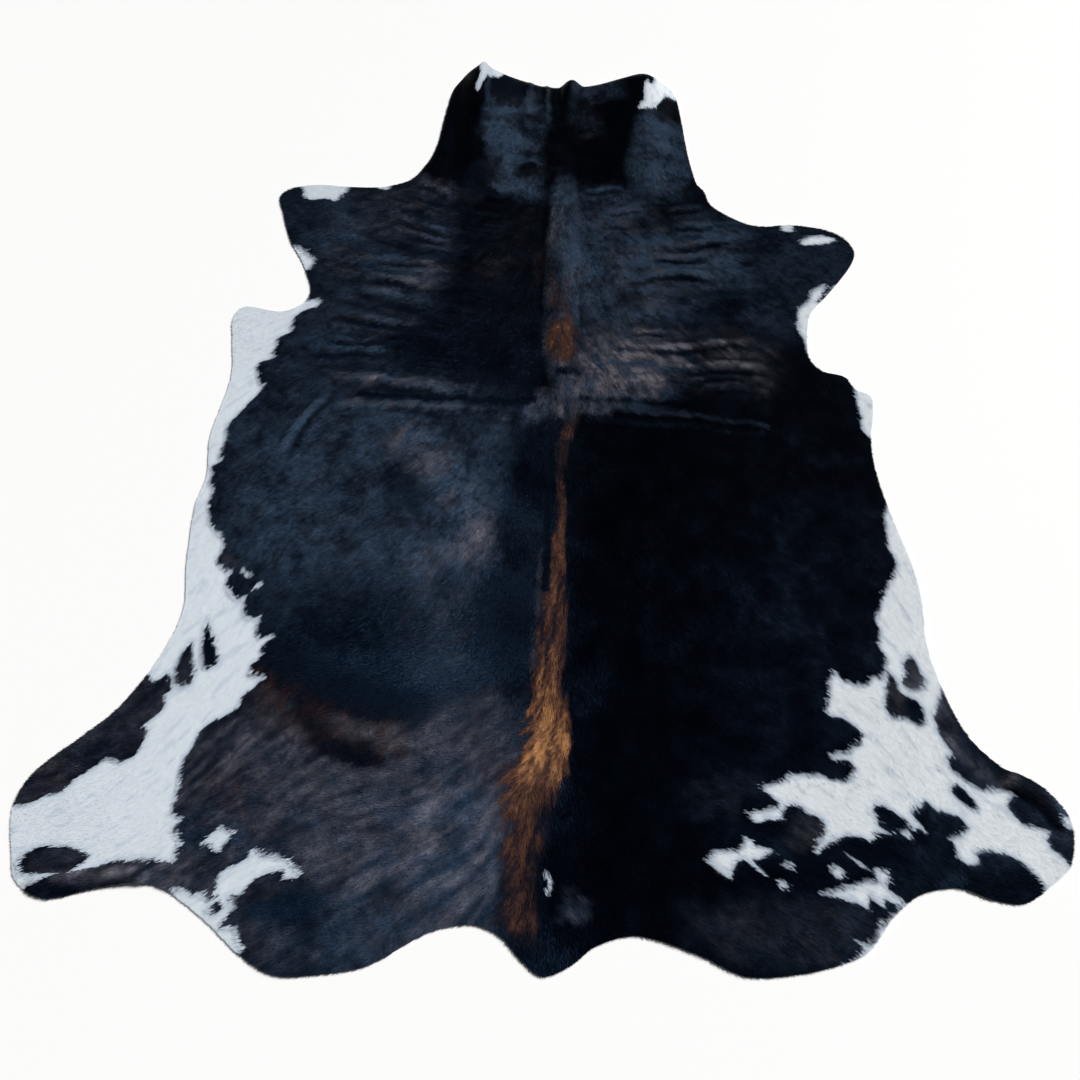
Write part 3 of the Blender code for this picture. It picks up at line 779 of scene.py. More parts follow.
# %% White patches of the neck end and of the left foreleg
WHITE_FRONT = {
    "neck, right corner": (
        (0.208, 1.072), (0.205, 1.048), (0.204, 1.000), (0.193, 0.987), (0.186, 0.968),
        (0.221, 0.968), (0.238, 0.978), (0.247, 0.996), (0.259, 1.018), (0.270, 1.038),
        (0.299, 1.038), (0.340, 1.070), (0.280, 1.130), (0.240, 1.135), (0.236, 1.085),
        (0.226, 1.074), (0.217, 1.085),
    ),
    "neck, left sliver": (
        (-0.253, 1.100), (-0.257, 1.072), (-0.265, 1.052), (-0.264, 1.033), (-0.255, 1.018),
        (-0.247, 1.033), (-0.245, 1.052), (-0.238, 1.070), (-0.231, 1.085), (-0.223, 1.077),
        (-0.196, 1.082), (-0.186, 1.092), (-0.190, 1.130), (-0.240, 1.180), (-0.262, 1.150),
    ),
    "left foreleg, top": (
        (-0.700, 0.655), (-0.690, 0.645), (-0.686, 0.625), (-0.668, 0.610), (-0.650, 0.608),
        (-0.630, 0.612), (-0.610, 0.610), (-0.600, 0.603), (-0.585, 0.610), (-0.582, 0.630),
        (-0.568, 0.640), (-0.570, 0.655), (-0.575, 0.680), (-0.690, 0.690),
    ),
    "left foreleg, fleck": (
        (-0.502, 0.662), (-0.490, 0.653), (-0.463, 0.651), (-0.460, 0.668), (-0.480, 0.680),
    ),
    "left foreleg, elbow": (
        (-0.672, 0.445), (-0.655, 0.435), (-0.640, 0.420), (-0.618, 0.400), (-0.617, 0.385),
        (-0.625, 0.360), (-0.660, 0.360), (-0.700, 0.440),
    ),
}
print(len(WHITE_FRONT), "white patches")

# %% Dark islands in the white, and the map of both
DARK = {
    "left hock, upper": (
        (-0.698, -0.618), (-0.707, -0.634), (-0.714, -0.658), (-0.715, -0.680), (-0.706, -0.703),
        (-0.694, -0.708), (-0.682, -0.703), (-0.679, -0.688), (-0.684, -0.666), (-0.692, -0.643),
    ),
    "left hock": (
        (-0.772, -0.676), (-0.760, -0.698), (-0.745, -0.699), (-0.731, -0.682), (-0.722, -0.690),
        (-0.720, -0.706), (-0.714, -0.714), (-0.728, -0.727), (-0.720, -0.742), (-0.725, -0.757),
        (-0.752, -0.785), (-0.740, -0.792), (-0.748, -0.825), (-0.755, -0.843), (-0.775, -0.852),
        (-0.805, -0.845), (-0.815, -0.858), (-0.850, -0.885), (-0.870, -0.912), (-0.890, -0.912),
        (-0.920, -0.932), (-0.960, -0.936), (-0.960, -0.840), (-0.800, -0.700),
    ),
    "left drop": (
        (-0.678, -0.568), (-0.670, -0.592), (-0.659, -0.608), (-0.650, -0.628), (-0.643, -0.645),
        (-0.641, -0.662), (-0.652, -0.669), (-0.664, -0.666), (-0.671, -0.652), (-0.675, -0.625),
        (-0.679, -0.596),
    ),
    "left foot": (
        (-0.908, -1.030), (-0.900, -1.015), (-0.885, -1.005), (-0.860, -1.000), (-0.805, -1.007),
        (-0.790, -1.015), (-0.800, -1.030), (-0.815, -1.043), (-0.870, -1.047), (-0.895, -1.045),
    ),
    "left rump dot": ((-0.564, -1.090), (-0.552, -1.078), (-0.540, -1.090), (-0.552, -1.102)),
    "right knee": (
        (0.688, -0.593), (0.698, -0.605), (0.700, -0.625), (0.711, -0.640), (0.705, -0.655),
        (0.690, -0.662), (0.672, -0.660), (0.665, -0.648), (0.675, -0.632), (0.675, -0.610),
    ),
    "right knee, lower": (
        (0.645, -0.633), (0.655, -0.645), (0.655, -0.665), (0.668, -0.675), (0.685, -0.682),
        (0.697, -0.698), (0.695, -0.722), (0.682, -0.730), (0.665, -0.718), (0.635, -0.715),
        (0.628, -0.700), (0.632, -0.678), (0.635, -0.655),
    ),
    "right shin": (
        (0.725, -0.842), (0.735, -0.838), (0.748, -0.852), (0.760, -0.868), (0.762, -0.880),
        (0.750, -0.878), (0.735, -0.865), (0.723, -0.852),
    ),
    "right hock": (
        (0.578, -0.885), (0.585, -0.878), (0.605, -0.885), (0.625, -0.898), (0.640, -0.910),
        (0.625, -0.922), (0.600, -0.924), (0.585, -0.915), (0.583, -0.900),
    ),
    "right elbow sliver": (
        (0.608, 0.303), (0.620, 0.318), (0.630, 0.337), (0.645, 0.358), (0.670, 0.370),
        (0.640, 0.330), (0.620, 0.303),
    ),
}

white_map = np.full(across_map.shape, -REACH)
for patch in (*WHITE_LEFT.values(), *WHITE_RIGHT.values(), *WHITE_FRONT.values()):
    white_map = np.maximum(white_map, depth_inside(np.array(patch)))
for island in DARK.values():
    white_map = np.minimum(white_map, -depth_inside(np.array(island)))
share = ((white_map > 0) & (edge_map > 0)).sum() / (edge_map > 0).sum()
print("white hair covers", round(100 * share), "% of the hide")

# %% The tan stripe down the back
# Each row has a place along the backbone, the stripe's two sides there, and how tan it is.
Band = namedtuple("Band", "along left right tan")
STRIPE = (
    Band(-1.150, -0.020, 0.000, 0.00), Band(-1.095, -0.062, -0.012, 0.28),
    Band(-1.060, -0.072, -0.016, 0.22), Band(-1.020, -0.076, -0.014, 0.22),
    Band(-0.975, -0.076, -0.006, 0.38), Band(-0.930, -0.076, 0.002, 0.29),
    Band(-0.880, -0.070, 0.012, 0.46), Band(-0.840, -0.056, 0.034, 0.70),
    Band(-0.790, -0.040, 0.038, 0.80), Band(-0.740, -0.034, 0.034, 0.84),
    Band(-0.690, -0.034, 0.024, 0.76), Band(-0.640, -0.022, 0.018, 0.66),
    Band(-0.590, -0.028, 0.026, 0.36), Band(-0.540, -0.028, 0.029, 0.36),
    Band(-0.490, -0.016, 0.026, 0.50), Band(-0.440, -0.007, 0.022, 0.48),
    Band(-0.360, -0.002, 0.019, 0.46), Band(-0.280, -0.001, 0.018, 0.42),
    Band(-0.230, 0.000, 0.018, 0.34), Band(-0.190, 0.000, 0.017, 0.22),
    Band(-0.150, 0.000, 0.022, 0.26), Band(-0.100, 0.006, 0.036, 0.28),
    Band(-0.065, 0.018, 0.048, 0.20), Band(-0.045, 0.020, 0.044, 0.00),
    Band(0.075, -0.034, 0.022, 0.10), Band(0.110, -0.031, 0.034, 0.38),
    Band(0.185, -0.030, 0.033, 0.38), Band(0.225, -0.032, 0.028, 0.18),
    Band(0.320, -0.034, 0.012, 0.13), Band(0.480, -0.044, -0.014, 0.06),
    Band(0.620, -0.020, 0.020, 0.00),
)
band = {key: np.array([getattr(row, key) for row in STRIPE]) for key in Band._fields}
STRIPE_RAGGED = 0.026  # twice the furthest that the stripe's sides stray
RAGGED_LONG = 5.0  # each of those strays is this many times longer than it is wide
STRIPE_SOFT = 0.010  # half width of its left border
RUMP_SOFT = 0.012  # and this much more on the rump, where the left side frays
RUMP_STARTS = (0.66, 0.80)  # how far behind the middle of the rug that begins and is full
RIGHT_BORDER = (-0.006, 0.008)  # from outside to inside the right border, which is sharper


def stripe(x, y):
    """How tan the hair is, between the band's two sides at that place along the back."""
    ragged = x + STRIPE_RAGGED * (rough_noise(x, y / RAGGED_LONG, 0.012, 23, 2) - 0.5)
    left, right, tan = (np.interp(y, band["along"], band[key]) for key in ("left", "right", "tan"))
    soft = STRIPE_SOFT + RUMP_SOFT * ramp(-y, *RUMP_STARTS)
    return tan * ramp(ragged, left - soft, left + soft) * ramp(right - ragged, *RIGHT_BORDER)


tan_map = stripe(across_map, along_map)
print("the stripe covers", round((tan_map > 0).sum() * CELL**2 * 1e4), "square centimetres")

# %% Grey, dusty and brown hairs, with painted sheen and shade, among the black: the neck
# A tint is a rounded box: its middle, its reach to each side, its turn in degrees, the share of
# its reach by which its border fades inwards and outwards, and what it adds inside. Where all
# rows together leave less than no grey, the hair is black and dull. Dusty 1 is all dusty hair,
# and above 1 it gets paler.
DUSTY_MOST = 2.0
# The grey column is grey hair and painted sheen together: it is higher where slopes and ridges face the
# window, and low or below 0, as painted shade, where they turn away. Dusty or tan below 0 paints shade
# as well.
Tint = namedtuple("Tint", "x y reach_x reach_y turn soft grey dusty tan", defaults=(0.0,))
TINTS = {
    # painted sheen: two light bands on the slopes that face the window on the right, and painted shade
    # between them
    "neck, left band, upper": Tint(-0.147, 0.91, 0.090, 0.110, 0, 0.12, 0.42, 0.04),
    "neck, left band, lower": Tint(-0.138, 0.75, 0.076, 0.100, 8, 0.20, 0.47, 0.04),
    "neck, left band, core": Tint(-0.170, 0.84, 0.042, 0.110, 6, 0.50, 0.36, 0.00),
    "neck, left band, foot": Tint(-0.112, 0.665, 0.052, 0.040, -12, 0.50, 0.40, 0.00),
    "neck, left band, head": Tint(-0.160, 0.955, 0.070, 0.018, 4, 0.50, 0.18, 0.00),
    "neck, left band, blotch 1": Tint(-0.098, 0.866, 0.038, 0.022, 0, 0.40, -0.30, 0.00),
    "neck, left band, blotch 2": Tint(-0.098, 0.735, 0.038, 0.024, 0, 0.40, -0.60, 0.00),
    "neck, left band, blotch 3": Tint(-0.215, 0.875, 0.026, 0.022, 25, 0.50, -0.45, 0.00),
    "neck, left band, blotch 4": Tint(-0.100, 0.795, 0.036, 0.014, -10, 0.40, -0.30, 0.00),
    "neck, left band, blotch 5": Tint(-0.150, 0.995, 0.080, 0.010, 3, 0.40, -0.20, 0.00),
    "neck, left band, blotch 6": Tint(-0.222, 0.700, 0.034, 0.080, -24, 0.50, -0.45, 0.00),
    "neck, left band, blotch 7": Tint(-0.080, 0.930, 0.034, 0.018, -10, 0.40, -0.24, 0.00),
    "neck, left band, dark end": Tint(-0.170, 1.035, 0.038, 0.064, 0, 0.40, -0.65, 0.00),
    "neck, left band, light end": Tint(-0.092, 1.035, 0.024, 0.040, 0, 0.50, 0.16, 0.04),
    "neck, left band, root": Tint(-0.335, 0.665, 0.080, 0.030, -22, 0.60, 0.12, 0.10),
    "neck, right band": Tint(0.254, 0.82, 0.084, 0.165, -8, 0.20, 0.62, 0.05),
    "neck, right band, bright": Tint(0.264, 0.82, 0.034, 0.080, -6, 0.60, 0.42, 0.00),
    "neck, right band, foot": Tint(0.225, 0.73, 0.050, 0.040, 0, 0.60, 0.22, 0.00),
    "neck, right band, fleck": Tint(0.268, 0.800, 0.020, 0.018, 20, 0.40, -0.40, 0.00),
    "neck, right corner": Tint(0.278, 0.985, 0.040, 0.056, 0, 0.40, -0.75, 0.00),
    "neck, middle, end": Tint(0.080, 1.052, 0.060, 0.044, 0, 0.45, 0.46, 0.03),
    "neck, middle, end, hole": Tint(0.085, 1.030, 0.022, 0.016, 0, 0.45, -0.40, 0.00),
    "neck, middle": Tint(0.045, 0.93, 0.035, 0.055, 25, 0.60, 0.12, 0.06),
    "neck, root": Tint(0.140, 0.645, 0.190, 0.040, 3, 0.50, 0.18, 0.00),
}
print(len(TINTS), "tints")

# %% The backbone and its right side
TINTS |= {
    # painted sheen on the backbone's ridge and on the slope right of it, painted shade on the slope
    # left of it
    "backbone": Tint(-0.002, 0.37, 0.044, 0.340, 0, 0.14, 0.34, 0.06),
    "backbone, warm": Tint(-0.002, 0.150, 0.034, 0.056, 0, 0.30, -0.10, 1.20, 0.02),
    "backbone, olive": Tint(-0.004, 0.275, 0.034, 0.050, 0, 0.40, -0.12, 0.22, 0.04),
    "backbone, dark blotch 1": Tint(0.018, 0.066, 0.028, 0.018, 0, 0.40, -0.50, -0.50, -0.30),
    "backbone, dark blotch 2": Tint(0.015, 0.238, 0.014, 0.013, 0, 0.40, -0.34, -0.10),
    "backbone, dark blotch 3": Tint(0.010, 0.385, 0.014, 0.056, 0, 0.50, -0.24, 0.00),
    "dark, left of the backbone": Tint(-0.150, 0.360, 0.080, 0.180, 0, 0.60, -0.07, 0.02, 0.01),
    "dim streaks, left of the backbone": Tint(-0.175, 0.385, 0.040, 0.030, -20, 0.70, 0.02, 0.04, 0.02),
    "brown streaks, left of the backbone": Tint(-0.110, 0.560, 0.030, 0.040, 0, 0.70, 0.02, 0.04, 0.02),
    "brown, left of the ridge": Tint(-0.058, 0.370, 0.016, 0.060, 0, 0.50, 0.00, 0.04, 0.10),
    "right of the back": Tint(0.120, 0.41, 0.125, 0.220, 4, 0.35, 0.64, 0.09),
    "right shoulder": Tint(0.320, 0.45, 0.110, 0.140, 0, 0.50, 0.50, 0.08),
    "right foreleg": Tint(0.550, 0.38, 0.200, 0.190, 0, 0.30, 0.26, 0.00),
    "right shoulder, low": Tint(0.290, 0.250, 0.090, 0.060, 0, 0.60, 0.20, 0.00),
    "right shoulder, dark": Tint(0.385, 0.320, 0.050, 0.055, 0, 0.60, -0.34, -0.05),
    "right shoulder, darker blotch 1": Tint(0.325, 0.492, 0.036, 0.014, 12, 0.50, -0.30, 0.00),
    "right shoulder, darker blotch 2": Tint(0.345, 0.455, 0.040, 0.014, 10, 0.50, -0.30, 0.00),
    "right shoulder, darker blotch 3": Tint(0.240, 0.570, 0.060, 0.030, 10, 0.50, -0.20, 0.00),
    "right of the back, low": Tint(0.115, 0.085, 0.095, 0.085, 8, 0.55, 0.75, 1.08),
    "right of the back, lower": Tint(0.220, 0.125, 0.080, 0.055, 12, 0.60, 0.24, 0.50, 0.01),
    "right of the back, teal": Tint(0.150, 0.010, 0.110, 0.035, 0, 0.50, 0.34, -0.14),
    "right of the back, gap": Tint(0.245, 0.050, 0.060, 0.032, 0, 0.60, 0.20, 0.16),
    "right of the back, far": Tint(0.370, 0.110, 0.110, 0.080, 0, 0.50, 0.08, 0.24, 0.02),
}
print(len(TINTS), "tints so far")

# %% The left shoulder and side
TINTS |= {
    "left shoulder": Tint(-0.450, 0.42, 0.165, 0.220, 0, 0.32, 0.16, 0.07),
    "left shoulder, middle": Tint(-0.400, 0.350, 0.100, 0.058, -8, 0.40, 0.28, 0.12),
    "left foreleg": Tint(-0.640, 0.54, 0.120, 0.120, 0, 0.40, 0.14, 0.00),
    "left armpit": Tint(-0.560, 0.14, 0.150, 0.110, 0, 0.40, 0.18, 0.02),
    "above the fold, left": Tint(-0.365, 0.022, 0.150, 0.022, -2, 0.45, 0.20, 0.14),
    # painted sheen, on top of grey hair, where the left side faces the window
    "left side": Tint(-0.400, -0.24, 0.330, 0.240, 0, 0.45, 0.39, 0.04),
    "left side, belly": Tint(-0.640, -0.15, 0.100, 0.190, 0, 0.50, 0.05, 0.00),
    "left side, bright foot": Tint(-0.235, -0.430, 0.060, 0.035, 10, 0.60, 0.14, 0.10),
    "left side, brown": Tint(-0.322, -0.255, 0.046, 0.060, 20, 0.60, -0.26, -0.04, 0.03),
    "left side, lower": Tint(-0.190, -0.550, 0.100, 0.070, 0, 0.60, 0.03, 0.07),
    "left side, lower belly": Tint(-0.560, -0.500, 0.060, 0.110, 0, 0.60, 0.09, 0.00),
    "left side, above the arc": Tint(-0.200, -0.650, 0.070, 0.035, 10, 0.60, 0.10, 0.05),
    "left side, by the fold": Tint(-0.120, -0.070, 0.020, 0.032, 0, 0.60, 0.16, 0.08),
    # painted shade beside the backbone
    "beside the backbone, front": Tint(-0.066, -0.220, 0.036, 0.130, 4, 0.90, -0.22, -0.16),
    "beside the backbone, rear": Tint(-0.082, -0.480, 0.052, 0.140, -4, 0.80, -0.28, -0.20),
    "cowlick": Tint(-0.012, -0.012, 0.028, 0.022, 0, 0.80, 0.55, 0.80),
    "cowlick, left": Tint(-0.055, -0.055, 0.030, 0.016, 40, 0.80, 0.60, 0.20),
    "cowlick, right": Tint(0.062, -0.038, 0.036, 0.016, -5, 0.80, 0.40, 0.30),
}
print(len(TINTS), "tints so far")

# %% The rump, the legs and the tail
TINTS |= {
    "left rump": Tint(-0.370, -0.96, 0.320, 0.210, 0, 0.20, 0.10, 0.27),
    "left rump, warm": Tint(-0.550, -0.87, 0.080, 0.070, -10, 0.60, -0.04, 0.18, 0.06),
    "left rump, near the back": Tint(-0.160, -0.79, 0.125, 0.090, 25, 0.50, -0.10, 0.14, 0.07),
    "left rump, dark corner": Tint(-0.600, -1.010, 0.050, 0.045, 0, 0.40, 0.04, -0.26),
    "left rump, browner 1": Tint(-0.570, -0.90, 0.050, 0.030, -35, 0.60, -0.10, -0.02, 0.08),
    "left rump, browner 2": Tint(-0.490, -0.96, 0.050, 0.020, -20, 0.60, -0.08, -0.02, 0.08),
    "left rump, foot of the back": Tint(-0.150, -0.97, 0.070, 0.070, 20, 0.70, 0.02, 0.20),
    "left rump, beside the stripe": Tint(-0.095, -0.87, 0.035, 0.080, 15, 0.80, 0.00, 0.10, 0.12),
    "left rump, edge": Tint(-0.350, -1.120, 0.200, 0.050, 0, 0.50, 0.02, -0.10),
    "left rump, corner": Tint(-0.440, -1.070, 0.080, 0.050, 0, 0.50, -0.16, -0.20),
    "left rump, over the arc": Tint(-0.430, -0.690, 0.200, 0.045, -18, 0.40, -0.20, -0.30),
    "left leg, lower edge": Tint(-0.720, -1.040, 0.140, 0.030, 0, 0.50, 0.04, 0.32, 0.05),
    "left leg, hock": Tint(-0.800, -0.800, 0.180, 0.060, 45, 0.50, 0.05, 0.16, 0.05),
    "left leg, tip": Tint(-0.900, -0.890, 0.060, 0.040, 40, 0.50, -0.04, 0.14, 0.05),
    "left flank, brown lobe 1": Tint(-0.662, -0.445, 0.030, 0.018, -30, 0.40, -0.05, 0.14, 0.07),
    "left flank, brown lobe 2": Tint(-0.560, -0.666, 0.018, 0.018, 0, 0.40, -0.05, 0.20, 0.07),
    "right knee, brown": Tint(0.642, -0.675, 0.016, 0.046, 0, 0.40, 0.00, 0.24, 0.10),
    "right knee, grey": Tint(0.690, -0.632, 0.026, 0.036, 0, 0.40, 0.00, 0.44, 0.05),
    "right shin, grey": Tint(0.735, -0.725, 0.026, 0.045, 10, 0.50, 0.05, 0.46, 0.03),
    "right shin, lower": Tint(0.775, -0.795, 0.050, 0.020, -35, 0.60, 0.05, 0.34, 0.03),
    "right rump, brown": Tint(0.458, -0.925, 0.030, 0.032, -30, 0.50, 0.10, 0.26, 0.02),
    "right leg, hock": Tint(0.830, -0.860, 0.120, 0.050, -45, 0.50, 0.06, 0.05),
    "right rump": Tint(0.330, -0.870, 0.080, 0.024, 8, 0.70, 0.09, 0.03),
    "right rump, edge": Tint(0.420, -1.095, 0.150, 0.050, 0, 0.50, 0.14, 0.08),
    "beside the tail": Tint(0.052, -1.068, 0.026, 0.018, -25, 0.60, 0.30, 0.16),
    "tail": Tint(-0.040, -1.050, 0.034, 0.080, 0, 0.40, -0.35, -0.35),
}
print(len(TINTS), "tints in all")

# %% The same along lines
# A stroke has its two ends, its bow, its half width, and what it adds.
Stroke = namedtuple("Stroke", "x0 y0 x1 y1 bow wide grey dusty tan", defaults=(0.0,))
# As in the tints, grey is grey hair and painted sheen together, and below 0 it is painted shade.
STROKES = {
    "left side, bright": Stroke(-0.335, -0.135, -0.150, -0.400, 0.030, 0.070, 0.24, 0.34),
    "left side, bright line": Stroke(-0.360, -0.128, -0.230, -0.132, 0.0, 0.012, 0.20, 0.10),
    "below the fold, line 1": Stroke(-0.500, -0.043, -0.330, -0.047, 0.0, 0.010, 0.22, 0.10),
    "below the fold, line 2": Stroke(-0.460, -0.067, -0.350, -0.063, 0.0, 0.008, 0.20, 0.10),
    "arc over the left rump": Stroke(-0.570, -0.690, -0.300, -0.798, -0.018, 0.078, -0.30, 0.14, 0.17),
    "arc, dark core": Stroke(-0.460, -0.758, -0.320, -0.816, -0.012, 0.036, -0.30, -0.36, -0.04),
    "arc, dark foot": Stroke(-0.420, -0.800, -0.300, -0.838, -0.010, 0.022, -0.30, -0.30, 0.00),
    "right shin, light band": Stroke(0.812, -0.846, 0.842, -0.806, 0.0, 0.012, 0.10, 0.40),
    "beside the stripe": Stroke(-0.026, -0.380, -0.034, -0.640, 0.0, 0.012, 0.10, 0.24, 0.08),
    "shadow left of the stripe": Stroke(-0.016, -0.080, -0.015, -0.480, 0.0, 0.012, -0.60, -0.60, -0.4),
    "backbone, warm edge": Stroke(-0.034, 0.620, -0.028, 0.200, 0.0, 0.011, -0.10, 0.30),
    "backbone, red core": Stroke(0.000, 0.190, -0.002, 0.108, 0.0, 0.024, 0.00, 0.40, 0.14),
    "backbone, dark line 1": Stroke(0.006, 0.600, 0.004, 0.480, 0.0, 0.008, -0.28, 0.00),
    "backbone, dark line 2": Stroke(0.042, 0.340, 0.044, 0.215, 0.0, 0.008, -0.34, 0.00),
    # painted highlights along the crests of the neck's ridges
    "neck end, line 1": Stroke(-0.226, 1.100, -0.226, 0.985, 0.0, 0.014, 0.34, 0.03),
    "neck end, line 2": Stroke(-0.112, 1.100, -0.112, 0.985, 0.0, 0.014, 0.30, 0.05),
    "neck end, line 3": Stroke(-0.059, 1.090, -0.056, 0.930, 0.0, 0.011, 0.38, 0.05),
    # a painted highlight on each lip of the fold across the middle, and painted shade in its groove
    "lip right of the middle": Stroke(0.050, -0.022, 0.280, -0.042, 0.0, 0.010, 0.40, 0.10),
    "lip right of the middle, far": Stroke(0.280, -0.042, 0.460, -0.066, 0.0, 0.009, 0.26, 0.04),
    "groove right of the middle": Stroke(0.050, 0.000, 0.460, -0.022, 0.0, 0.012, -0.50, -0.50),
    "groove left of the middle": Stroke(-0.450, -0.012, -0.060, -0.020, 0.0, 0.012, -0.50, -0.50),
    "lip left of the middle": Stroke(-0.480, -0.032, -0.180, -0.045, 0.0, 0.014, 0.20, 0.18),
}
print(len(STROKES), "strokes")

# %% Add them all up on the maps
def tint_amount(tint, x, y):
    """1 inside a turned, rounded box, 0 outside it, and a soft border between."""
    turn = np.radians(tint.turn)
    right = (x - tint.x) * np.cos(turn) + (y - tint.y) * np.sin(turn)
    up = (y - tint.y) * np.cos(turn) - (x - tint.x) * np.sin(turn)
    out = (np.abs(right / tint.reach_x) ** 3 + np.abs(up / tint.reach_y) ** 3) ** (1 / 3)
    return 1 - ramp(out, 1 - tint.soft, 1 + tint.soft)


def stroke_amount(stroke, x, y):
    """1 on a bowed line, and 0 at its half width and past its ends."""
    _, past_end, left = along_and_off(x, y, stroke)
    return bump(np.hypot(past_end, left) / stroke.wide)


WANDER = 0.022  # the furthest that a border strays across the hide; half as much again along it
STROKE_STRAYS = 0.3  # share of that for a stroke; for a tint, the softer, the more
wander_x = WANDER * 2 * (rough_noise(across_map, along_map, 0.050, 5, 3) - 0.5)
wander_y = WANDER * 3 * (rough_noise(across_map, along_map, 0.050, 6, 3) - 0.5)
# grey and dusty carry painted light and shade as well as the hair's own colour
grey_and_painted_light_map = np.zeros(across_map.shape)
dusty_and_painted_light_map = np.zeros(across_map.shape)
for table, amount_of in ((TINTS, tint_amount), (STROKES, stroke_amount)):
    for row in table.values():
        share = min(1.0, 2 * row.soft) if table is TINTS else STROKE_STRAYS
        amount = amount_of(row, across_map + share * wander_x, along_map + share * wander_y)
        grey_and_painted_light_map += row.grey * amount
        dusty_and_painted_light_map += row.dusty * amount
        tan_map += row.tan * amount
tan_map = tan_map.clip(0, 1)
print("brown or tan hair covers", round((tan_map > 0.05).sum() * CELL**2, 2), "square metres")

# %% Painted light and shade: crests and slopes towards the neck are painted lighter, grooves darker, and on the left half grooves and black hair are duller
CREST_PAINTED_LIGHT = 500.0  # how much lighter the hair is painted for each metre that a crest stands out
NECK_SLOPE_PAINTED_LIGHT = 3.0  # and for a slope of 1 down towards the neck, which faces the window
PAINTED_RELIEF_LIGHT_MOST = 2.6
DULL_IN_GROOVES = 1.2  # for each unit that the painted relief light is under 1
DULL_WHERE_BLACK = 2.5  # for each unit that the grey is under 0
LEFT_ENDS = 0.03  # metres to the right of the backbone
NEAR_BY, ALL_ROUND = 1, 8  # grid cells to each side
left_half = ramp(across_map, LEFT_ENDS, 0.0)  # only hair that faces the window needs dulling
small_forms = averaged(lie_map, NEAR_BY) - averaged(lie_map, ALL_ROUND)
fall_map = -np.gradient(small_forms, CELL, axis=0)
# painted light and shade from the relief: above 1 on crests and on slopes towards the neck, below 1 in
# grooves
painted_relief_light = np.clip(1 + CREST_PAINTED_LIGHT * relief_map + NECK_SLOPE_PAINTED_LIGHT * fall_map, 0, PAINTED_RELIEF_LIGHT_MOST)
in_grooves = np.clip(DULL_IN_GROOVES * (1 - painted_relief_light), 0, 1)
where_black = np.clip(-DULL_WHERE_BLACK * grey_and_painted_light_map, 0, 1)
dull_map = 1 - (1 - in_grooves) * (1 - where_black)
dull_map *= left_half
grey_and_painted_light_map, dusty_and_painted_light_map = (grey_and_painted_light_map * painted_relief_light).clip(0, 1), (dusty_and_painted_light_map * painted_relief_light).clip(0, DUSTY_MOST)


RUBBED_STRETCH = 6.0  # a rubbed streak is this many times longer than it is wide


def rubbed(x, y, size, seed):
    """Long soft streaks along the wrinkles, about 0 there and just 0 everywhere else."""
    total = np.zeros_like(x)
    for number, area in enumerate(WRINKLED.values()):
        strength, line_y = along_wrinkles(x, y, area)
        total += strength * (rough_noise(x / RUBBED_STRETCH, line_y, size, seed + number, 2) - 0.5)
    return total


GREY_RUBBED, DUSTY_RUBBED = 2.4, 4.5  # how strongly those streaks show in each
GREY_HELD, DUSTY_HELD = (0.1, 2.5), (0.0, 3.0)  # the least and the most that they leave of it
grey_and_painted_light_map *= np.clip(1 + GREY_RUBBED * rubbed(across_map, along_map, 0.024, 80), *GREY_HELD)
dusty_and_painted_light_map *= np.clip(1 + DUSTY_RUBBED * rubbed(across_map, along_map, 0.020, 90), *DUSTY_HELD)
print("painted_light goes from", round(painted_relief_light.min(), 1), "to", round(painted_relief_light.max(), 1))

# %% A painted highlight on the crest and a painted shadow line along each wrinkle, and along the left lip
CREST_OFF, CREST_WIDE = 0.15, 0.9  # where the crest is, and half its width, in half widths
CREST_PAINTED_HIGHLIGHT = 0.8  # how much lighter the hair is painted there
LINE_OFF = 0.85  # where the painted shadow on the tail side is, in half widths
LINE_WIDE = 0.010  # half width of that shadow, in metres
PAINTED_SHADOW_DARK = 0.8  # how much of its grey the hair loses in that painted shadow
painted_highlight_map = np.zeros(across_map.shape)
painted_shadow_map = np.zeros(across_map.shape)
patchy = 0.35 + 1.3 * rough_noise(across_map, along_map, 0.040, 17, 3)  # 1 on average
for name, fold in FOLDS.items():
    if "wrinkle" in name or "neck side" in name:
        held, _, left = along_and_off(sway_x, sway_y, fold)
        from_crest = (left - CREST_OFF * fold.left) / (CREST_WIDE * fold.left)
        from_line = (left + LINE_OFF * fold.right) / (LINE_WIDE * patchy)
        # crest: the painted highlight; line: the painted shadow on the tail side
        crest = fading_ends(held) * bump(from_crest) * patchy
        line = fading_ends(held) * bump(from_line)
        painted_highlight_map, painted_shadow_map = np.maximum(painted_highlight_map, crest), np.maximum(painted_shadow_map, line)
painted_shadow_map = PAINTED_SHADOW_DARK * painted_shadow_map.clip(0, 1)
grey_and_painted_light_map *= (1 + CREST_PAINTED_HIGHLIGHT * painted_highlight_map) * (1 - painted_shadow_map)
dusty_and_painted_light_map *= (1 + CREST_PAINTED_HIGHLIGHT * painted_highlight_map) * (1 - painted_shadow_map)
dull_map = np.maximum(dull_map, painted_shadow_map * left_half)
print("grey up to", round(grey_and_painted_light_map.max(), 2), "and dusty up to", round(dusty_and_painted_light_map.max(), 2))

# %% [markdown]
# ## The way the hair lies
#
# Hair on a cow runs tailwards along the back, and then outwards and down over the ribs and
# the legs. It could be brushed by hand, but it turns so gently that a small table does it: the
# turn at a few places of one side. Between them the turn is their average, the nearer counting
# the more, and the other side is its mirror image.

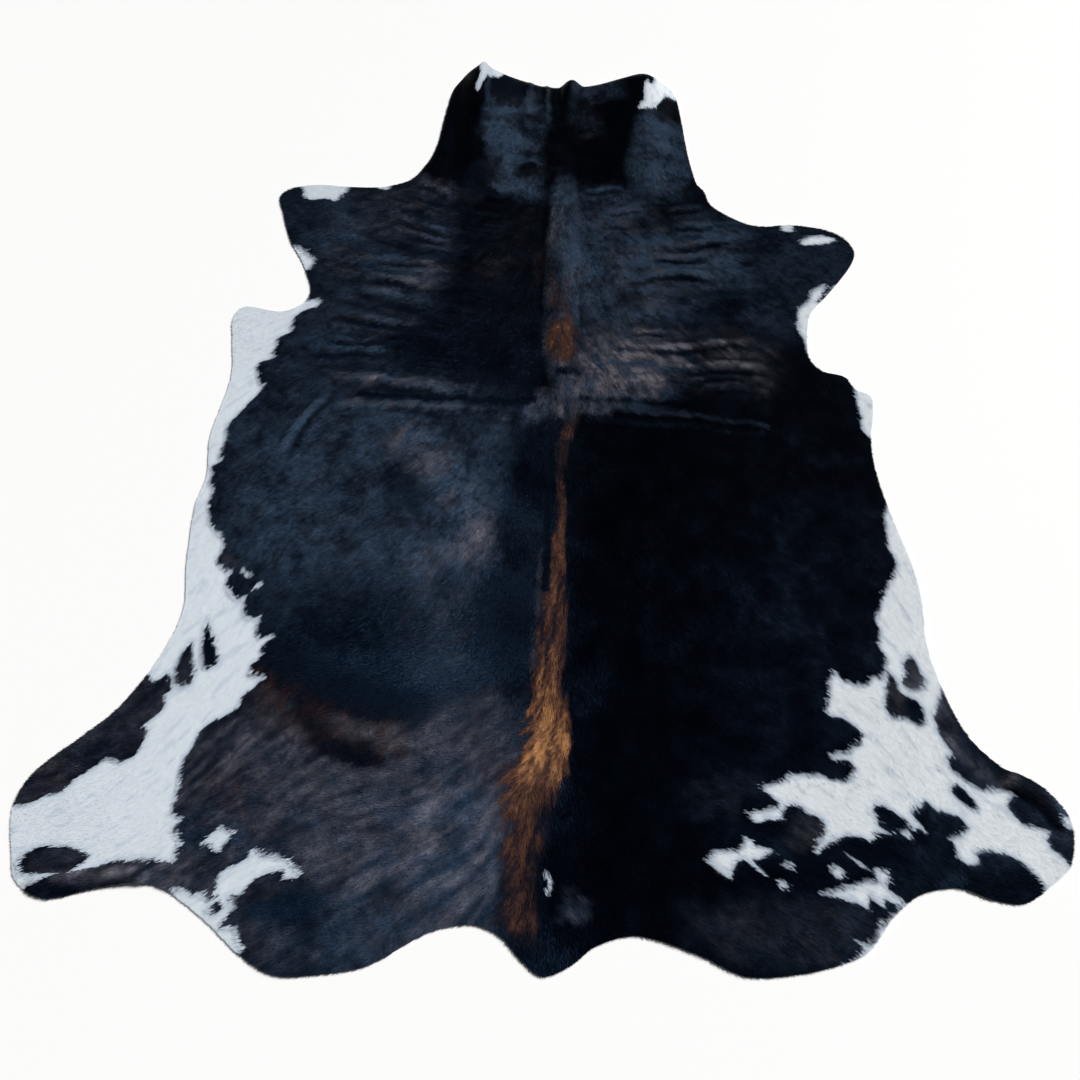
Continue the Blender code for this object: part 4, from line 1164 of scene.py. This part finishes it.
# %% Comb the hide
Lie = namedtuple("Lie", "off_back along turn")  # turn is from tailwards to outwards
COMB = (
    Lie(0.00, 1.05, 0), Lie(0.20, 1.05, 10), Lie(0.00, 0.80, 0), Lie(0.25, 0.80, 12),
    Lie(0.00, 0.40, 0), Lie(0.15, 0.45, 35), Lie(0.35, 0.45, 55), Lie(0.55, 0.55, 70),
    Lie(0.70, 0.60, 80), Lie(0.50, 0.20, 50), Lie(0.30, 0.15, 45), Lie(0.12, 0.10, 35),
    Lie(0.00, 0.00, 0), Lie(0.15, -0.30, 35), Lie(0.40, -0.30, 50), Lie(0.65, -0.20, 40),
    Lie(0.70, -0.50, 25), Lie(0.50, -0.60, 50), Lie(0.20, -0.70, 60), Lie(0.10, -0.80, 60),
    Lie(0.30, -0.90, 75), Lie(0.15, -1.00, 60), Lie(0.08, -1.08, 40), Lie(0.00, -0.90, 0),
    Lie(0.00, -1.15, 0), Lie(0.40, -1.08, 60), Lie(0.55, -0.90, 55), Lie(0.65, -0.80, 30),
    Lie(0.75, -0.90, 45), Lie(0.88, -0.92, 65), Lie(0.85, -1.02, 75), Lie(0.06, -0.10, 25),
    Lie(0.06, -0.30, 26), Lie(0.06, -0.45, 28), Lie(0.05, -0.58, 30),
    Lie(0.03, -0.20, 4), Lie(0.03, -0.40, 5), Lie(0.03, -0.55, 8), Lie(0.03, -0.70, 10),
    Lie(0.03, -0.90, 8), Lie(0.055, -0.80, 32), Lie(0.085, -0.86, 50),
)
PARTING_SOFT = 0.018  # the hair turns from one side to the other over about this distance
AT_A_PLACE = 1e-5  # keeps the weight of a place from growing without end close to it


def combed(x, y):
    """Direction of the hair, as (x, y) parts: a weighted mean of the table, by 1/distance^3.

    The parting, where it changes sides, is the backbone on the neck half and the right side
    of the stripe on the tail half.
    """
    parting = np.interp(y, band["along"], band["right"] * (band["along"] < 0))
    off = x - parting
    turn = np.zeros_like(x)
    weights = np.zeros_like(x)
    for row in COMB:
        weight = 1 / (np.hypot(np.abs(off) - row.off_back, y - row.along) ** 3 + AT_A_PLACE)
        turn += weight * row.turn
        weights += weight
    angle = np.radians(turn / weights) * np.tanh(off / PARTING_SOFT)
    return np.sin(angle), -np.cos(angle)


comb_x_map, comb_y_map = combed(across_map, along_map)
print("combed from", len(COMB), "places")

# %% [markdown]
# ## Noise that follows the hair
#
# Ordinary noise is the same in every direction, but a coat is streaky: neighbouring hairs
# along one line are alike. Averaging noise at a few places up and down the hair smears it into
# streaks, just as an artist drags wet paint.

# %% Streaks and lumps
LUMPS, FLECKS = 3.9, 2.0  # how strongly each of them shows
LUMP_SIZE, FLECK_SIZE = 0.055, 0.0036  # the largest lumps, and the width of a streak
MOTTLING_HELD = (0.15, 2.6)


def hair_noise(x, y, size, half_length, seed, steps=5):
    """Soft noise averaged along the hair, about a mean of 0.5."""
    ahead_x, ahead_y = read(comb_x_map, x, y), read(comb_y_map, x, y)
    places = np.linspace(-half_length, half_length, steps)
    return sum(soft_noise(x + go * ahead_x, y + go * ahead_y, size, seed) for go in places) / steps


def mottled(x, y, seed):
    """Lumps of 5 cm to 7 mm and streaks of a tuft's width, about 1."""
    lumps = rough_noise(x, y, LUMP_SIZE, seed, 4, 0.90)
    fine = hair_noise(x, y, FLECK_SIZE, 0.009, seed + 1)
    return np.clip(1 + LUMPS * (lumps - 0.5) + FLECKS * (fine - 0.5), *MOTTLING_HELD)


# %% [markdown]
# ## The coat, hair by hair
#
# A strand system would be the usual tool, but strands are lost when the rug leaves Blender.
# Here every tuft of hair is one long thin triangle: wide at the root, where the next tufts
# cover it, and pointed at the tip. Hundreds of thousands of them, made as whole arrays, cover
# the leather more than twice over. Each stands up a little from the skin and rolls a little on
# its length, which is what gives the coat its uneven gloss.

# %% Where the tufts stand
SPACING = 0.00203
SCATTER = 0.35 * SPACING
BARE_RIM = 0.0006  # no tuft stands closer to the cut edge
rng = np.random.default_rng(7)
root_x, root_y = even_net(SPACING)
root_x = root_x + rng.normal(0, SCATTER, root_x.size)
root_y = root_y + rng.normal(0, SCATTER, root_y.size)
room = read(edge_map, root_x, root_y)
root_x, root_y, room = (part[room > BARE_RIM] for part in (root_x, root_y, room))
count = root_x.size
print(count, "tufts,", round(count / hide_area / 1e4), "for each square centimetre")

# %% How each tuft lies
HAIR_LENGTH = 0.0100
LENGTH_SPREAD = (0.7, 1.25)  # the shortest and the longest tuft, in hair lengths
OVERHANG = 0.003  # the most that a tip reaches past the cut edge
OVERHANG_SPREAD = (0.1, 1.0)
KEPT_LENGTH = 0.15  # the least share of its length that a tuft keeps beside the cut edge
OWN_TURN, CLUMP_TURN, DRIFT_TURN = 9, 5, 22  # degrees, of one tuft, of 1 cm and of 4.5 cm

clump = soft_noise(root_x, root_y, 0.011, 11)
drift = soft_noise(root_x, root_y, 0.045, 12)
heading = np.arctan2(read(comb_y_map, root_x, root_y), read(comb_x_map, root_x, root_y))
own_turn = rng.normal(0, OWN_TURN, count)
heading += np.radians(own_turn + CLUMP_TURN * (clump - 0.5) + DRIFT_TURN * (drift - 0.5))
way_x, way_y = np.cos(heading), np.sin(heading)
length = HAIR_LENGTH * rng.uniform(*LENGTH_SPREAD, count)
tip_room = read(edge_map, root_x + length * way_x, root_y + length * way_y)
allowed = OVERHANG * rng.uniform(*OVERHANG_SPREAD, count)
kept_share = np.clip((room + allowed) / (room - tip_room + 1e-9), KEPT_LENGTH, 1)
length = np.where(tip_room < -allowed, length * kept_share, length)
print("tufts are", round(1000 * length.mean(), 1), "mm long on average")

# %% How each tuft stands up and rolls over
LIFT = (14, 18)  # degrees from the skin
LEAN = 22  # degrees between places where the coat stands up and where it lies down
LIFT_HELD = (6, 28)
WHITE_FLATTER = 0.92  # white hair lies almost flat, which keeps it free of shadows
OWN_ROLL = 4  # degrees, of one tuft
LOCK_ROLL, WHITE_LOCK_ROLL = 5, 3  # degrees between one lock of tufts and the next
ROOT_UP = 0.0008  # the roots start just above the undercoat
HAIR_WIDTH = 0.0017
WIDTH_SPREAD = (0.75, 1.25)  # the narrowest and the widest tuft, in hair widths
WHITE_BORDER = 0.004  # half width of the border over which the lie goes from dark to white

whiteness = ramp(read(white_map, root_x, root_y), -WHITE_BORDER, WHITE_BORDER)
lean = rough_noise(root_x, root_y, 0.045, 13, 3, 0.75)
lift = rng.uniform(*LIFT, count) + LEAN * (lean - 0.5)
lift = np.radians(np.clip(lift, *LIFT_HELD) * (1 - WHITE_FLATTER * whiteness))
lock = hair_noise(root_x, root_y, 0.007, 0.012, 15)
lock_roll = LOCK_ROLL + (WHITE_LOCK_ROLL - LOCK_ROLL) * whiteness
roll = np.radians(rng.normal(0, OWN_ROLL, count) + lock_roll * (lock - 0.5))
width = HAIR_WIDTH * rng.uniform(*WIDTH_SPREAD, count)

# %% The three corners of every tuft
def on_hide(x, y, above):
    """Points at a height above the leather's upper face, in the rug's own frame."""
    return np.column_stack((x - middle[0], y - middle[1], read(lie_map, x, y) + LEATHER + above))


side_x, side_y = -way_y * np.cos(roll) * width / 2, way_x * np.cos(roll) * width / 2
side_up = np.sin(roll) * width / 2
tip_x = root_x + way_x * length * np.cos(lift)
tip_y = root_y + way_y * length * np.cos(lift)
right_root = on_hide(root_x - side_x, root_y - side_y, ROOT_UP - side_up)
tip = on_hide(tip_x, tip_y, ROOT_UP + length * np.sin(lift))
left_root = on_hide(root_x + side_x, root_y + side_y, ROOT_UP + side_up)
corners = np.stack((right_root, tip, left_root), axis=1)
print("tips stand up to", round(1000 * (length * np.sin(lift)).max(), 1), "mm over the leather")

# %% White, dusty, grey and tan hair
RIM = 0.012  # white hair is greyer within this distance of a dark patch
WISPS = 0.5  # how much greyer it is in wisps
WISP_NOISE = (0.56, 0.72)  # between these values of its noise a wisp goes from none to full
OWN_GREYER = 0.15  # how much greyer one tuft may be than the next
LEFT_WHITE_PAINTED_SHADE = 0.36  # painted shade: the white hair of the left flank and legs is a little darker all over, where the window lights it more
BETWEEN_SIDES = 0.1  # half width of the middle strip over which that starts
OWN_MOTTLING = 0.8  # share of the dusty hair's mottling that the grey hair doesn't have too
GREY_MOTTLING = 0.8  # how strongly the grey hair is mottled
COMBED_LINES = 4.6  # how strongly dusty hair gathers in lines along the coat
FEATHER = 0.11  # twice the furthest that single streaks of tan stray from the stripe
FRAYS_AT, FRAYS_OVER = -0.80, 0.22  # where along the back they stray most, and its reach
FRAYS_ELSEWHERE = 0.15  # share of that along the rest of the back
FRAYS_RIGHT = 0.35  # share of that on the stripe's right side
STRANDS_SHOW, STREAKS_SHOW = 1.6, 0.8  # how strongly tan shows in strands and in wider streaks
TAN_BASE, TAN_STREAKS, TAN_OWN = 0.35, 0.9, 0.4  # of all tan, of streaks, and of single tufts
TAN_MOST = 1.9


def white_amount(x, y, depth, chance):
    """0 outside the white patches; in them, 0.5 for the greyest hair and 1 for the cleanest."""
    wisp = hair_noise(x, y, 0.008, 0.016, 61)
    clean = ramp(depth, 0, RIM) * (1 - WISPS * ramp(wisp, *WISP_NOISE))
    clean *= 1 - OWN_GREYER + OWN_GREYER * chance
    # painted shade on the white of the left side
    clean *= 1 - LEFT_WHITE_PAINTED_SHADE * ramp(-x, -BETWEEN_SIDES, BETWEEN_SIDES)
    return np.where(depth > 0, 0.5 + 0.5 * clean, 0)


def dusty_grey_and_painted_light(x, y, at_x, at_y, chance):
    """What the maps say, mottled, and the dusty hair in combed lines as well."""
    spread = 0.7 + 0.6 * chance
    own, grey_mottled = mottled(x, y, 62), mottled(x, y, 66)
    lines = hair_noise(x, y, 0.012, 0.038, 75, 9)
    lines = np.clip(1 + COMBED_LINES * (lines - 0.5), 0.1, 2.5)
    dusty_mottled = OWN_MOTTLING * own + (1 - OWN_MOTTLING) * grey_mottled
    dusty = read(dusty_and_painted_light_map, at_x, at_y) * dusty_mottled * spread * lines
    grey = read(grey_and_painted_light_map, at_x, at_y) * ((1 + GREY_MOTTLING * (grey_mottled - 1)) * spread)
    return dusty, grey


def tan_amount(x, y, at_x, at_y, chance):
    """The map's tan in streaks; the stripe frays most to its left, and where y is near -0.80."""
    strand = hair_noise(x, y, 0.0042, 0.010, 70)
    wider = soft_noise(x, y / 4, 0.010, 71)
    streak = 0.5 + STRANDS_SHOW * (strand - 0.5) + STREAKS_SHOW * (wider - 0.5)
    frayed_here = FRAYS_ELSEWHERE + (1 - FRAYS_ELSEWHERE) * bump((y - FRAYS_AT) / FRAYS_OVER)
    frayed = frayed_here * (FRAYS_RIGHT + (1 - FRAYS_RIGHT) * ramp(-x, -0.02, 0.01))
    feather = FEATHER * frayed * (hair_noise(x, y, 0.007, 0.030, 73, 9) - 0.5)
    tan = read(tan_map, at_x + feather, at_y)
    return tan * np.clip(TAN_BASE + TAN_STREAKS * streak + TAN_OWN * (chance - 0.5), 0, TAN_MOST)


def coat_values(x, y, jag, chance):
    """White, tan, dusty and grey of each tuft, read from the maps a little up or down the hair."""
    at_x, at_y = x + jag * read(comb_x_map, x, y), y + jag * read(comb_y_map, x, y)
    white = white_amount(x, y, read(white_map, at_x, at_y), chance)
    tan = tan_amount(x, y, at_x, at_y, chance)
    dusty, grey = dusty_grey_and_painted_light(x, y, at_x, at_y, chance)
    return np.column_stack((white, tan, dusty / DUSTY_MOST, grey)).clip(0, 1)


# %% What colour each tuft is
AHEAD = 0.006  # a tuft shows most near its tip, so it takes its colour from there
JAG = 0.008  # how much further along one clump reads than the next
OWN_JAG = 0.0030  # and one tuft than its neighbour
OWN_CHANCE = 0.45  # share of a tuft's chance that is its own; the rest it has with its clump
chance_of_clump = soft_noise(root_x, root_y, 0.0055, 16)
chance = OWN_CHANCE * rng.random(count) + (1 - OWN_CHANCE) * chance_of_clump
jag = AHEAD + JAG * (soft_noise(root_x, root_y, 0.009, 21) - 0.5) + rng.normal(0, OWN_JAG, count)
coat = coat_values(root_x, root_y, jag, chance)
dull = read(dull_map, root_x, root_y)
print("white tufts:", round(100 * (coat[:, 0] > 0).mean()), "%")

# %% Six pieces of coat
FAR = 9.0  # beyond either end of the rug
PARTS = {"shoulder": (0.20, FAR), "side": (-0.47, 0.20), "rump": (-FAR, -0.47)}
hair = []
for part, (low, high) in PARTS.items():
    for side, sign in (("left", -1), ("right", 1)):
        mine = (root_y >= low) & (root_y < high) & (sign * root_x >= 0)
        points = corners[mine].reshape(-1, 3)
        faces = np.arange(len(points)).reshape(-1, 3)
        piece = new_mesh(f"hair_{side}_{part}", points, faces, points[:, :2])
        put_values(piece, "coat", np.repeat(coat[mine], 3, axis=0))
        strand = np.zeros((mine.sum(), 3, 4))
        strand[:, 1, 0] = 1  # along the hair: 0 at the root and 1 at the tip
        strand[:, :, 1] = (0, 0.5, 1)  # across it
        strand[:, :, 2] = chance[mine][:, None]
        strand[:, :, 3] = dull[mine][:, None]
        put_values(piece, "strand", strand)
        hair.append(piece)
        print(piece.name, mine.sum(), "tufts")

# %% The undercoat reads the same maps
chance_below = soft_noise(flat[:, 0], flat[:, 1], 0.004, 31)
jag_below = JAG * (soft_noise(flat[:, 0], flat[:, 1], 0.009, 21) - 0.5)
below = coat_values(flat[:, 0], flat[:, 1], jag_below, chance_below)
put_values(undercoat, "coat", below)
strand_below = np.zeros((len(flat), 4))
strand_below[:, 2] = chance_below
strand_below[:, 3] = read(dull_map, flat[:, 0], flat[:, 1])
put_values(undercoat, "strand", strand_below)
print("white undercoat:", round(100 * (below[:, 0] > 0).mean()), "%")

# %% [markdown]
# ## Colour of the coat
#
# Each tuft could hold its finished colour. It holds four amounts instead, so that every shade
# of the coat is mixed in one place, a group of nodes, for hair and undercoat alike. Black cow
# hair is not quite black, and the grey, which is grey hair and painted sheen together, is
# blue-grey. Dusty hairs are a warmer grey, up to a pale mauve. Tan covers these, and runs from
# red-brown to gold as there is more of it, and white covers all of them.

# %% Small helpers for nodes
def add_node(tree, kind, **settings):
    """A new node with the given settings."""
    node = tree.nodes.new(kind)
    for key, value in settings.items():
        setattr(node, key, value)
    return node


def feed(tree, socket, value):
    """Links a socket's output into another socket, or writes a plain number or colour there."""
    if isinstance(value, bpy.types.NodeSocket):
        tree.links.new(value, socket)
    else:
        socket.default_value = value


def maths(tree, operation, first, second, clamp=False):
    """One step of arithmetic."""
    node = add_node(tree, "ShaderNodeMath", operation=operation, use_clamp=clamp)
    feed(tree, node.inputs[0], first)
    feed(tree, node.inputs[1], second)
    return node.outputs[0]


def mixed(tree, amount, first, second, blend="MIX"):
    """Goes from the first colour to the second by the amount."""
    node = add_node(tree, "ShaderNodeMix", data_type="RGBA", blend_type=blend)
    node.clamp_factor = True
    feed(tree, node.inputs["Factor"], amount)
    feed(tree, node.inputs[6], first)
    feed(tree, node.inputs[7], second)
    return node.outputs[2]


def ranged(tree, value, from_low, from_high, to_low, to_high):
    """A straight ramp from one span of numbers to another, held at both ends."""
    node = add_node(tree, "ShaderNodeMapRange")
    feed(tree, node.inputs["Value"], value)
    feed(tree, node.inputs["From Min"], from_low)
    feed(tree, node.inputs["From Max"], from_high)
    feed(tree, node.inputs["To Min"], to_low)
    feed(tree, node.inputs["To Max"], to_high)
    return node.outputs["Result"]


def new_group(name, inputs, outputs):
    """A shader node group; inputs are name: (kind, starting value), outputs are name: kind."""
    group = bpy.data.node_groups.new(name, "ShaderNodeTree")
    for key, (kind, value) in inputs.items():
        socket = group.interface.new_socket(key, in_out="INPUT", socket_type=f"NodeSocket{kind}")
        socket.default_value = value
    for key, kind in outputs.items():
        group.interface.new_socket(key, in_out="OUTPUT", socket_type=f"NodeSocket{kind}")
    return group, group.nodes.new("NodeGroupInput"), group.nodes.new("NodeGroupOutput")


# %% Node group: coat colour
BLACK_HAIR = (0.0001, 0.0002, 0.0018, 1)
# this blue-grey stands for grey hair and for the window's painted sheen alike
GREY_HAIR_AND_SHEEN = (0.044, 0.078, 0.134, 1)
DUSTY_HAIR = (0.113, 0.110, 0.132, 1)
PALE_HAIR = (0.225, 0.212, 0.258, 1)
BROWN_HAIRS = {0.2: (0.038, 0.016, 0.011, 1), 0.5: (0.133, 0.058, 0.032, 1)}
GOLD_HAIR = (0.550, 0.264, 0.100, 1)
RIM_HAIR = (0.50, 0.58, 0.68, 1)
WHITE_HAIR = (0.84, 0.89, 0.92, 1)
TAN_COVERS = 3.5  # a tan amount of 1 over this covers the black altogether
CHANCE_SHADE = (0.70, 1.15)  # brightness of the darkest and of the lightest tuft
ROOT_SHADE = 0.5  # brightness at the root, in the shade of the other tufts
ROOT_REACH = 0.6  # how far up the tuft that shade reaches
WHITE_SHADE = 0.72  # white hair lets so much light through that it is never darker than this

coat_group, given, result = new_group(
    "coat colour",
    {
        "Coat": ("Color", (0, 0, 0, 1)),
        "Grey": ("Float", 0.0),
        "Chance": ("Float", 0.5),
        "Along": ("Float", 1.0),
        "Root Shade": ("Float", ROOT_SHADE),
        "Black": ("Color", BLACK_HAIR),
        "White": ("Color", WHITE_HAIR),
    },
    {"Colour": "Color", "White Share": "Float", "Tan Share": "Float"},
)
amounts = add_node(coat_group, "ShaderNodeSeparateColor")
coat_group.links.new(given.outputs["Coat"], amounts.inputs[0])
white, tan, dusty = (amounts.outputs[i] for i in range(3))
# the grey amount mixes grey hair and painted sheen
colour = mixed(coat_group, given.outputs["Grey"], given.outputs["Black"], GREY_HAIR_AND_SHEEN)
dusty = maths(coat_group, "MULTIPLY", dusty, DUSTY_MOST)
colour = mixed(coat_group, dusty, colour, DUSTY_HAIR)
colour = mixed(coat_group, maths(coat_group, "SUBTRACT", dusty, 1.0, True), colour, PALE_HAIR)
stripe_colours = add_node(coat_group, "ShaderNodeValToRGB")
stops = stripe_colours.color_ramp.elements
stops[0].color, stops[-1].color = BLACK_HAIR, GOLD_HAIR
for place, shade in BROWN_HAIRS.items():
    stops.new(place).color = shade
coat_group.links.new(tan, stripe_colours.inputs["Fac"])
tan_share = maths(coat_group, "MULTIPLY", tan, TAN_COVERS, True)
colour = mixed(coat_group, tan_share, colour, stripe_colours.outputs["Color"])
clean = ranged(coat_group, white, 0.5, 1.0, 0.0, 1.0)
pale = mixed(coat_group, clean, RIM_HAIR, given.outputs["White"])
white_share = maths(coat_group, "MULTIPLY", white, 2.0, True)
colour = mixed(coat_group, white_share, colour, pale)
# a tuft is darker at its root, and no two are quite alike; white hair shows less of both
spread = ranged(coat_group, given.outputs["Chance"], 0.0, 1.0, *CHANCE_SHADE)
root_shade = given.outputs["Root Shade"]
root = ranged(coat_group, given.outputs["Along"], 0.0, ROOT_REACH, root_shade, 1.0)
shade = maths(coat_group, "MULTIPLY", spread, root)
faint = ranged(coat_group, shade, 0.0, 1.0, WHITE_SHADE, 1.0)
light = add_node(coat_group, "ShaderNodeMix", data_type="FLOAT")
feed(coat_group, light.inputs["Factor"], white_share)
feed(coat_group, light.inputs[2], shade)
feed(coat_group, light.inputs[3], faint)
dim = mixed(coat_group, 1.0, colour, light.outputs[0], "MULTIPLY")
coat_group.links.new(dim, result.inputs["Colour"])
coat_group.links.new(white_share, result.inputs["White Share"])
coat_group.links.new(tan_share, result.inputs["Tan Share"])
print("the coat's colour takes", len(coat_group.nodes), "nodes")

# %% Node group: strands
STRANDS = 5  # fine lines across one tuft
SHIFT = 40.0  # radians by which the lines of one tuft may be shifted from another's

strand_group, given, result = new_group(
    "strands",
    {"Across": ("Float", 0.5), "Chance": ("Float", 0.5)},
    {"Height": "Float"},
)
start = maths(strand_group, "MULTIPLY", given.outputs["Chance"], SHIFT)
turn = maths(strand_group, "MULTIPLY", given.outputs["Across"], 2 * np.pi * STRANDS)
wave = maths(strand_group, "SINE", maths(strand_group, "ADD", turn, start), 0.0)
strand_group.links.new(ranged(strand_group, wave, -1.0, 1.0, 0.0, 1.0), result.inputs["Height"])
print("each tuft shows", STRANDS, "strands")

# %% Materials of hair and undercoat
GLOSS = 0.20  # cow hair is far less shiny than a smooth surface
GLOSS_PAINTED_SKY_BLUE = (0.22, 0.50, 1.0, 1.0)  # painted reflection colour: the gloss is tinted the blue of the sky, though the window that gives most of it is white
STRAND_ROUGH = 0.06  # how much rougher the crest of a strand is than the groove beside it
STRAND_HIGH = 0.00012
STRAND_BUMP = 0.25


def coat_material(name, rough_black, rough_pale):
    """Reads the coat's amounts from the mesh; strands make its bump and break up its gloss.

    White, tan and dulled hair has the roughness of pale hair.
    """
    material = bpy.data.materials.new(name)
    material.use_nodes = True
    tree = material.node_tree
    shader = tree.nodes["Principled BSDF"]
    coat_read = add_node(tree, "ShaderNodeAttribute", attribute_name="coat")
    strand_read = add_node(tree, "ShaderNodeAttribute", attribute_name="strand")
    parts = add_node(tree, "ShaderNodeSeparateColor")
    tree.links.new(strand_read.outputs["Color"], parts.inputs[0])
    along, across, chance_here = (parts.outputs[i] for i in range(3))
    paint = add_node(tree, "ShaderNodeGroup", node_tree=coat_group)
    tree.links.new(coat_read.outputs["Color"], paint.inputs["Coat"])
    tree.links.new(coat_read.outputs["Alpha"], paint.inputs["Grey"])
    tree.links.new(chance_here, paint.inputs["Chance"])
    tree.links.new(along, paint.inputs["Along"])
    tree.links.new(paint.outputs["Colour"], shader.inputs["Base Color"])
    strands = add_node(tree, "ShaderNodeGroup", node_tree=strand_group)
    tree.links.new(across, strands.inputs["Across"])
    tree.links.new(chance_here, strands.inputs["Chance"])
    pale = maths(tree, "MAXIMUM", paint.outputs["White Share"], paint.outputs["Tan Share"])
    pale = maths(tree, "MAXIMUM", pale, strand_read.outputs["Alpha"])
    rough = ranged(tree, pale, 0.0, 1.0, rough_black, rough_pale)
    rougher = maths(tree, "MULTIPLY", strands.outputs["Height"], STRAND_ROUGH)
    tree.links.new(maths(tree, "ADD", rough, rougher), shader.inputs["Roughness"])
    grain = add_node(tree, "ShaderNodeBump")
    grain.inputs["Strength"].default_value = STRAND_BUMP
    grain.inputs["Distance"].default_value = STRAND_HIGH
    tree.links.new(strands.outputs["Height"], grain.inputs["Height"])
    tree.links.new(grain.outputs["Normal"], shader.inputs["Normal"])
    shader.inputs["Specular IOR Level"].default_value = GLOSS
    shader.inputs["Specular Tint"].default_value = GLOSS_PAINTED_SKY_BLUE
    return material


hair_material = coat_material("short_hair", rough_black=0.38, rough_pale=0.80)
undercoat_material = coat_material("undercoat", rough_black=0.70, rough_pale=0.85)
for piece in hair:
    piece.data.materials.append(hair_material)
undercoat.data.materials.append(undercoat_material)
print("two materials for the coat:", hair_material.name, "and", undercoat_material.name)

# %% [markdown]
# ## The flesh side
#
# Under the rug is suede: the inner face of the skin, buffed until it is soft. It shows only
# at the cut edge and when a corner is turned up. A picture of suede would repeat, so two
# noises of the material make it: one for its soft clouds, and one for the nap and its bump.

# %% Suede
SUEDE_DARK, SUEDE_LIGHT = (0.50, 0.42, 0.33, 1), (0.68, 0.62, 0.54, 1)  # in soft clouds
NAP_COLOUR = (0.40, 0.32, 0.25, 1)  # of the fine fluff, mixed in by up to NAP_SHARE
NAP_SHARE = 0.35
CLOUDS, NAP_FINE = 9.0, 420.0  # how many of each to a metre
NAP_HIGH = 0.0006
NAP_BUMP = 0.5
SUEDE_ROUGH = 0.92


def suede_noise(tree, place, fine, detail):
    """Noise of the given fineness in the piece's own space; 0 to 1."""
    node = add_node(tree, "ShaderNodeTexNoise")
    node.inputs["Scale"].default_value = fine
    node.inputs["Detail"].default_value = detail
    tree.links.new(place, node.inputs["Vector"])
    return node.outputs["Fac"]


suede = bpy.data.materials.new("suede")
suede.use_nodes = True
tree = suede.node_tree
shader = tree.nodes["Principled BSDF"]
shader.inputs["Roughness"].default_value = SUEDE_ROUGH
place = add_node(tree, "ShaderNodeTexCoord").outputs["Object"]
cloud = suede_noise(tree, place, CLOUDS, 5.0)
nap = suede_noise(tree, place, NAP_FINE, 3.0)
buff = mixed(tree, cloud, SUEDE_DARK, SUEDE_LIGHT)
buff = mixed(tree, maths(tree, "MULTIPLY", nap, NAP_SHARE), buff, NAP_COLOUR)
tree.links.new(buff, shader.inputs["Base Color"])
grain = add_node(tree, "ShaderNodeBump")
grain.inputs["Strength"].default_value = NAP_BUMP
grain.inputs["Distance"].default_value = NAP_HIGH
tree.links.new(nap, grain.inputs["Height"])
tree.links.new(grain.outputs["Normal"], shader.inputs["Normal"])
flesh_side.data.materials.append(suede)
print("suede on the flesh side and on the cut edge")

# %% [markdown]
# ## Tell the frame
#
# Every piece rides on the rug's only body and stands for the solid sheet, which stays hidden.

# %% Tell the frame
for piece in (undercoat, flesh_side, *hair):
    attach(piece, "root")
    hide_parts("cowhide")
floor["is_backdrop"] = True

# %% Size of the frame and of what was made
bpy.context.view_layer.update()
low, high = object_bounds()
print("rug, in metres:", [round(b - a, 3) for a, b in zip(low, high)])
